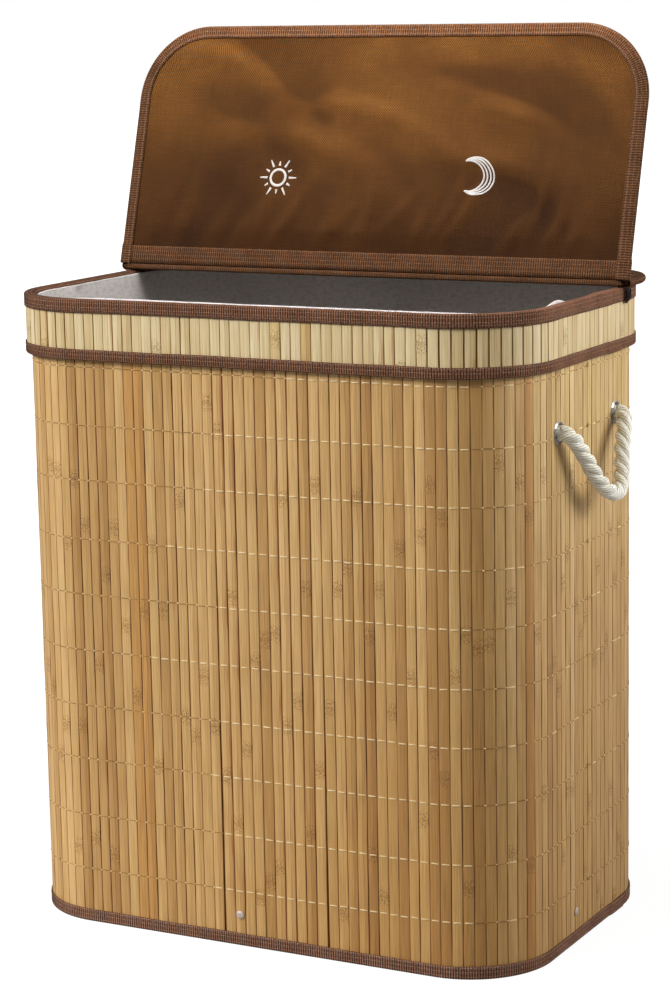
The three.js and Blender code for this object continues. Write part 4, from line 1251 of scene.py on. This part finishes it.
def lining(name, far, depth, folds_of, relief_of):
    """The cloth on a panel's inner face: flat under the tape, with soft folds in the open."""
    across, up = np.linspace(-1, 1, 150), np.linspace(hinge_gap + lining_inset, far - lining_inset, 74)
    grid = np.empty((len(up), len(across), 3))
    for k, y in enumerate(up):
        past = max(0.0, y - (far - panel_corner))
        in_corner = math.sqrt(max((panel_corner - lining_inset) ** 2 - past**2, 1e-9))
        reach = panel_half - panel_corner + in_corner
        x = across * reach
        free = np.minimum(reach - np.abs(x), min(y - hinge_gap, far - y))
        loose = np.clip((free - 14 * mm) / (22 * mm), 0, 1)
        grid[k] = np.column_stack([x, np.full_like(x, y), lining_level - depth * folds_of(x, y) * loose])
    cloth = thickened(loft(name, grid, runs=up, girths=across * panel_half), 0.55 * mm)
    relief = relief_of(*points_of(cloth)[:, :2].T).astype(np.float32)
    cloth.data.attributes.new("relief", "FLOAT", "POINT").data.foreach_set("value", relief)
    return cloth


# The brown cloth takes painted shade from 0.84 m down to 0.6 m, and painted light and shade on its folds.
brown_cloth = cloth_of(
    "brown_cloth", "#231405", "#7e501f", "#4e2d0e", 2.5 * mm, 0.75, 0.3 * mm, painted_shade_heights=(0.84, 0.6), painted_fold_light_and_shade=True,
)
draw = np.random.default_rng(17)
creases = []
for place_x in np.linspace(-225, 225, 17):
    start = np.array([place_x + draw.uniform(-12, 12), draw.uniform(30, 66)]) * mm
    lean = math.radians(180 - draw.uniform(48, 80))
    wide, long = draw.uniform(4.5, 8) * mm, draw.uniform(26, 58) * mm
    creases.append((start, lean, wide, long, draw.uniform(0.25, 0.75)))
for _ in range(20):
    start = np.array([draw.uniform(-235, 235), draw.uniform(80, 225)]) * mm
    lean = math.radians(draw.uniform(8, 50))
    wide, long = draw.uniform(9, 17) * mm, draw.uniform(50, 110) * mm
    creases.append((start, lean, wide, long, draw.uniform(-0.7, 1.0)))


def lid_creases(x, y):
    """The creases of the lid's cloth: short ones near the hinge, and long ones over the rest."""
    total = 0.3 * np.sin(2 * math.pi * (x + 0.4 * y) / (310 * mm) + 0.8)
    for start, lean, wide, long, high in creases:
        dx, dy = x - start[0], y - start[1]
        along = dx * math.cos(lean) + dy * math.sin(lean)
        aside = -dx * math.sin(lean) + dy * math.cos(lean) + 0.0022 * along**2 / mm
        total = total + high * np.exp(-((aside / wide) ** 2) - (along / long) ** 2)
    return total


def lid_folds(x, y):
    """How far the lid's cloth stands off its board, never less than nothing."""
    total = lid_creases(x, y) + 0.5 * np.cos(2 * math.pi * (y - 40 * mm) / (380 * mm))
    return np.logaddexp(0, 4 * total + 1) / 4


def rear_folds(x, y):
    """The slight waves of the rear panel's cloth."""
    return 0.4 + 0.4 * ridges(x + 0.5 * y, 12, (130 * mm, 60 * mm))


lid_fold_depth = 5.2 * mm
lid_lining = lining("lid_cloth", lid_reach, lid_fold_depth, lid_folds, lid_creases)
rear_lining = lining("rear_panel_cloth", rear_reach, 0.6 * mm, rear_folds, rear_folds)
for piece, place_of, body, node, size in (
    (lid_lining, lid_place, "lid", "lid_lining", lid_reach),
    (rear_lining, rear_place, "body", "rear_panel_lining", rear_reach),
):
    put_in_place(piece, place_of)
    dress(piece, brown_cloth, body, [node])
    wide, long = 2 * (panel_half - lining_inset), size - hinge_gap - 2 * lining_inset

for name, place_of, body, near_width, slant, reach in (
    ("lid", lid_place, "lid", 17.5 * mm, 0.0, lid_reach),
    ("rear_panel", rear_place, "body", 8 * mm, 0.55, rear_reach),
):
    slats = panel_slats(name + "_curtain", reach)
    binding = edge_binding(name + "_binding", reach, near_width)
    across_edge = near_binding(name + "_webbing", near_width, slant)
    spots = []
    line, inwards, _ = panel_edge(reach, 1.9 * mm)
    for k in range(0, len(line) - 1, 4):
        ahead = Vector((*unit((line[k + 1] - line[k])[None])[0], 0))
        at = line[k] + inwards[k] * 10.4 * mm
        raised = 0.75 * mm if line[k][1] < hinge_gap + near_width else 0.0
        for face in (-1, 1):
            into = Vector((0, 0, -face))
            turn = Matrix((ahead, into, ahead.cross(into))).transposed().to_4x4()
            spots.append(Matrix.Translation((*at, face * (panel_face + 0.05 * mm + raised))) @ turn)
    seam = sewn(name + "_stitches", spots, 3 * mm)
    for piece, material, slot, stands_for in (
        (slats, bamboo, "bamboo", [name + "_slats"]),
        (binding, lid_tape, "tape", [name + "_tape"]),
        (across_edge, lid_tape, "tape", ["lid_webbing"] if name == "lid" else []),
        (seam, brown_thread, "tape", []),
    ):
        put_in_place(piece, place_of)
        dress(piece, material, body, stands_for)

# Hinge: a roll of the lid's ribbed tape along the line that the lid turns on. On each side of it a flap of
# the brown cloth is sewn in under the tape of that side's panel.
fold_radius, fold_half = 2.75 * mm, 268.1 * mm
run = np.linspace(-fold_half, fold_half, 270)
turns = np.linspace(0, 2 * math.pi, 17)[:-1]
girth_wave = 1 + 0.03 * ridges(run, 41, (60 * mm, 23 * mm))
ends = np.sqrt(np.clip(1 - (np.abs(run / fold_half)) ** 220, 0.08, 1))
size = (fold_radius * girth_wave * ends)[:, None]
across = np.repeat(run[:, None], 16, axis=1)
grid = np.stack([across, size * np.cos(turns)[None], size * np.sin(turns)[None]], axis=2)
roll = loft("hinge_roll", grid, around=True, caps=True, runs=run, girths=np.linspace(0, 17 * mm, 17))
put_in_place(roll, rear_place)
dress(roll, lid_tape, "body", ["hinge_cloth"])
for name, place_of, body in (("lid", lid_place, "lid"), ("rear", rear_place, "body")):
    deep = np.array([2.4, 3.4, 4.6, 6.4]) * mm
    grid = np.empty((len(run), 4, 3))
    grid[..., 0], grid[..., 1] = run[:, None], deep[None]
    grid[..., 2] = 0.25 * mm * ridges(run, 43, (50 * mm, 19 * mm))[:, None] * np.array([0, 1, 1, 0.4])[None]
    flap = thickened(loft(name + "_hinge_flap", grid, runs=run, girths=deep), 0.7 * mm)
    put_in_place(flap, place_of)
    dress(flap, brown_cloth, body)

# Tacks: at each end of the hinge line a tab of the tape is tied down over the rim. It is wrapped in dark
# thread, and three more turns cross over the wraps.
dark_thread = thread_of("dark_thread", 0.8, 0.2, 0.7 * mm, "#120b06", "#271a10", 0.1 * mm)
tack_foot, tack_top, tack_width = 585 * mm, 600.4 * mm, 9.5 * mm
tab_out, tab_middle = half_width + 6.75 * mm, 77.8 * mm
wrap_route = ((0.2, 0, 587.4), (1.6, 0.1, 588.6), (2.6, 0, 593.5), (1.9, -0.1, 597.9), (0.2, 0, 599.2))
cross_route = ((1.2, -4.4), (2.8, -3), (3.5, 0), (2.8, 3), (1.2, 4.4))  # out from the tab, then along it
tall, wide = np.linspace(0, 1, 14), np.linspace(-1, 1, 9)
for side, way in (("right", 1), ("left", -1)):
    grid = np.empty((len(tall), len(wide), 3))
    for k, share in enumerate(tall):
        height = tack_foot + share * (tack_top - tack_foot)
        narrow = math.sqrt(max(1 - max(0.0, 1 - share * 15.4 / 4) ** 2, 0.02))
        grid[k, :, 0] = way * (tab_out + 0.25 * mm * math.sin(share * 5) + 0.1 * mm * (k % 2))
        grid[k, :, 1] = tab_middle + wide * narrow * tack_width / 2
        grid[k, :, 2] = height
    tab = thickened(loft(side + "_tab", grid, runs=tall * 15 * mm, girths=wide * 4 * mm), tape_thickness)
    dress(tab, brown_tape, "body", [side + "_tack"])
    wraps = []
    for k, place_y in enumerate(np.linspace(-3.4, 3.4, 7)):
        y = tab_middle + place_y * mm
        route = [
            (way * (tab_out + bulge * mm), y + along * mm, height * mm)
            for bulge, along, height in wrap_route
        ]
        wraps.append(strand(f"{side}_wrap_{k}", smooth_line(route, 0.7 * mm), 8, 0.78 * mm))
    for k, slope in enumerate((0.9, 1.15, -1.0)):
        route = [
            (way * (tab_out + bulge * mm), tab_middle + along * mm, (593.5 + slope * along) * mm)
            for bulge, along in cross_route
        ]
        wraps.append(strand(f"{side}_cross_{k}", smooth_line(route, 0.7 * mm), 8, 0.8 * mm))
    dress(join(side + "_tack_thread", *wraps), dark_thread, "body")

# Marks of the two bins: a sun and a moon on the lid's cloth, one over each bin. They are embroidered in
# satin stitch with white thread.
white_thread, tree, shader, place, along = finish_of("white_thread", 0.55, sheen=0.4)
u, v, _ = put(tree, "SeparateXYZ", {0: along}).outputs
satin = math_of(tree, "SINE", math_of(tree, "MULTIPLY", u, 2 * math.pi / (0.9 * mm)))
tone = mixed(tree, stretched(tree, satin, -1.0, 0.4), rgb("#b5a9a0"), rgb("#f3efec"))
surface(tree, shader, tone, satin, 0.2 * mm)
mark_height, mark_size = 1.1 * mm, 1.3


def stroke(name, line, widths):
    """A satin-stitched line on the lid's cloth: a low ridge, sunk in to its middle."""
    ahead = unit(np.gradient(line, axis=0))
    aside = np.stack([-ahead[:, 1], ahead[:, 0]], axis=1)
    turns = np.linspace(0, 2 * math.pi, 13)[:-1]
    rough = np.where(np.arange(len(line)) % 2 == 0, 1.0, 0.94)
    grid = np.empty((len(line), 12, 3))
    reach = (widths * rough / 2)[:, None] * np.cos(turns)[None]
    grid[..., :2] = line[:, None] + reach[..., None] * aside[:, None]
    below = lining_level - lid_fold_depth * lid_folds(line[:, 0], line[:, 1]) + 0.2 * mm
    grid[..., 2] = below[:, None] - (mark_height * rough)[:, None] * np.sin(turns)[None]
    return loft(name, grid, around=True, caps=True, runs=runs_of(line), girths=np.linspace(0, 6 * mm, 13))


def arc(middle, radius, start, end):
    """Points on an arc between two turns in degrees."""
    turn = np.radians(np.linspace(start, end, 60))
    return np.column_stack([middle[0] + radius * np.cos(turn), middle[1] + radius * np.sin(turn)])


sun_at, moon_at = np.array([102.8, 92.2]) * mm, np.array([-111.8, 96.6]) * mm
ring = arc(sun_at, 6.2 * mm * mark_size, 0, 360)
lines = [(ring, np.full(len(ring), 3 * mm))]
share = np.linspace(0, 1, 16)[:, None]
for k in range(12):  # the sun's rays, long and short in turn
    near, far = 9.3, 15.5 if k % 2 == 0 else 12.5
    ray = np.array([math.cos(math.radians(30 * k)), math.sin(math.radians(30 * k))])
    line = sun_at + ray * (near + (far - near) * share) * mark_size * mm
    lines.append((line, (2.9 - 1.4 * share[:, 0]) * mm))
outer = arc(moon_at, 14 * mm * mark_size, 50, 310)
inner = arc(moon_at + (6.2 * mm * mark_size, 0), 10.9 * mm * mark_size, 80, 280)
for share in (0.08, 0.36, 0.64, 0.92):  # the moon's four strokes, from its outer edge to its inner one
    line = outer * (1 - share) + inner * share
    line = line[4:-4] if 0.2 < share < 0.8 else line
    lines.append((line, np.full(len(line), 2 * mm)))
shapes = [stroke(f"stroke_{k}", line, widths) for k, (line, widths) in enumerate(lines)]
marks = put_in_place(join("bin_marks", *shapes), lid_place)
dress(marks, white_thread, "lid")

# Studio: a pale floor and five soft lamps: at the front left, behind the right side, at the right, over the
# lid and low on the left. The background is white, and so is the floor, but for the shadow round the foot.
bpy.ops.object.select_all(action="DESELECT")
bpy.ops.mesh.primitive_plane_add(size=24, location=(0, 4, 0))
floor = bpy.context.object
floor.name = floor.data.name = "floor"
floor_paint = bpy.data.materials.new("floor_paint")
floor_paint.use_nodes = True
tree = floor_paint.node_tree
shader = tree.nodes["Principled BSDF"]
shader.inputs["Base Color"].default_value = (0.4, 0.4, 0.4, 1)
shader.inputs["Roughness"].default_value = 1.0
light_path = tree.nodes.new("ShaderNodeLightPath")
glow = put(tree, "Emission", {"Strength": 1.3})
on_floor = tree.nodes.new("ShaderNodeTexCoord").outputs["Object"]
from_hamper = put(tree, "VectorMath", {0: on_floor, 1: (0, 4, 0)}, operation="ADD").outputs[0]
distance = put(tree, "VectorMath", {0: from_hamper}, operation="LENGTH").outputs["Value"]
clear = stretched(tree, distance, 0.3, 0.85, 0.72, 1.0)
seen = math_of(tree, "MULTIPLY", light_path.outputs["Is Camera Ray"], clear)
both = tree.nodes.new("ShaderNodeMixShader")
for k, value in enumerate((seen, shader.outputs[0], glow.outputs[0])):
    tree.links.new(value, both.inputs[k])
tree.links.new(both.outputs[0], tree.nodes["Material Output"].inputs["Surface"])
floor.data.materials.append(floor_paint)

world = bpy.data.worlds.new("studio")
bpy.context.scene.world = world
world.use_nodes = True
tree = world.node_tree
sky = tree.nodes["Background"]
sky.inputs["Color"].default_value = (1, 1, 1, 1)
light_path = tree.nodes.new("ShaderNodeLightPath")
upwards = put(tree, "SeparateXYZ", {0: tree.nodes.new("ShaderNodeTexCoord").outputs["Generated"]}).outputs[2]
mirrored = stretched(tree, upwards, 0.05, 0.55, 0.3, 1.1)
level = math_of(tree, "MULTIPLY", light_path.outputs["Is Glossy Ray"], mirrored)
level = math_of(tree, "MAXIMUM", level, 0.17)
level = math_of(tree, "MAXIMUM", light_path.outputs["Is Camera Ray"], level)
tree.links.new(level, sky.inputs["Strength"])

for name, place, aim, size, spread, power in (
    ("front", (-1.7, -2.3, 2.5), (0, 0, 0.35), (2.0, 1.3), 180, 144),
    ("side", (2.2, 1.3, 1.3), (0.2, 0, 0.6), (1.6, 1.6), 70, 9.8),
    ("right", (1.7, 0.1, 1.5), (0.2, 0, 0.8), (0.6, 0.6), 40, 1.25),
    ("over", (0.05, -0.2, 1.25), (0.03, 0.1, 0.75), (0.5, 0.3), 180, 4.0),
    ("low", (-0.95, -0.9, 0.12), (-0.27, -0.15, 0.03), (0.3, 0.15), 30, 0.07),
):
    lamp_data = bpy.data.lights.new(name, "AREA")
    lamp_data.shape = "RECTANGLE"
    lamp_data.size, lamp_data.size_y = size
    lamp_data.spread = math.radians(spread)
    lamp_data.energy = power
    lamp = bpy.data.objects.new(name, lamp_data)
    bpy.context.scene.collection.objects.link(lamp)
    lamp.location = place
    lamp.rotation_euler = (Vector(aim) - lamp.location).to_track_quat("-Z", "Y").to_euler()
    lamp.visible_camera = False
bpy.context.scene.view_settings.view_transform = "Standard"
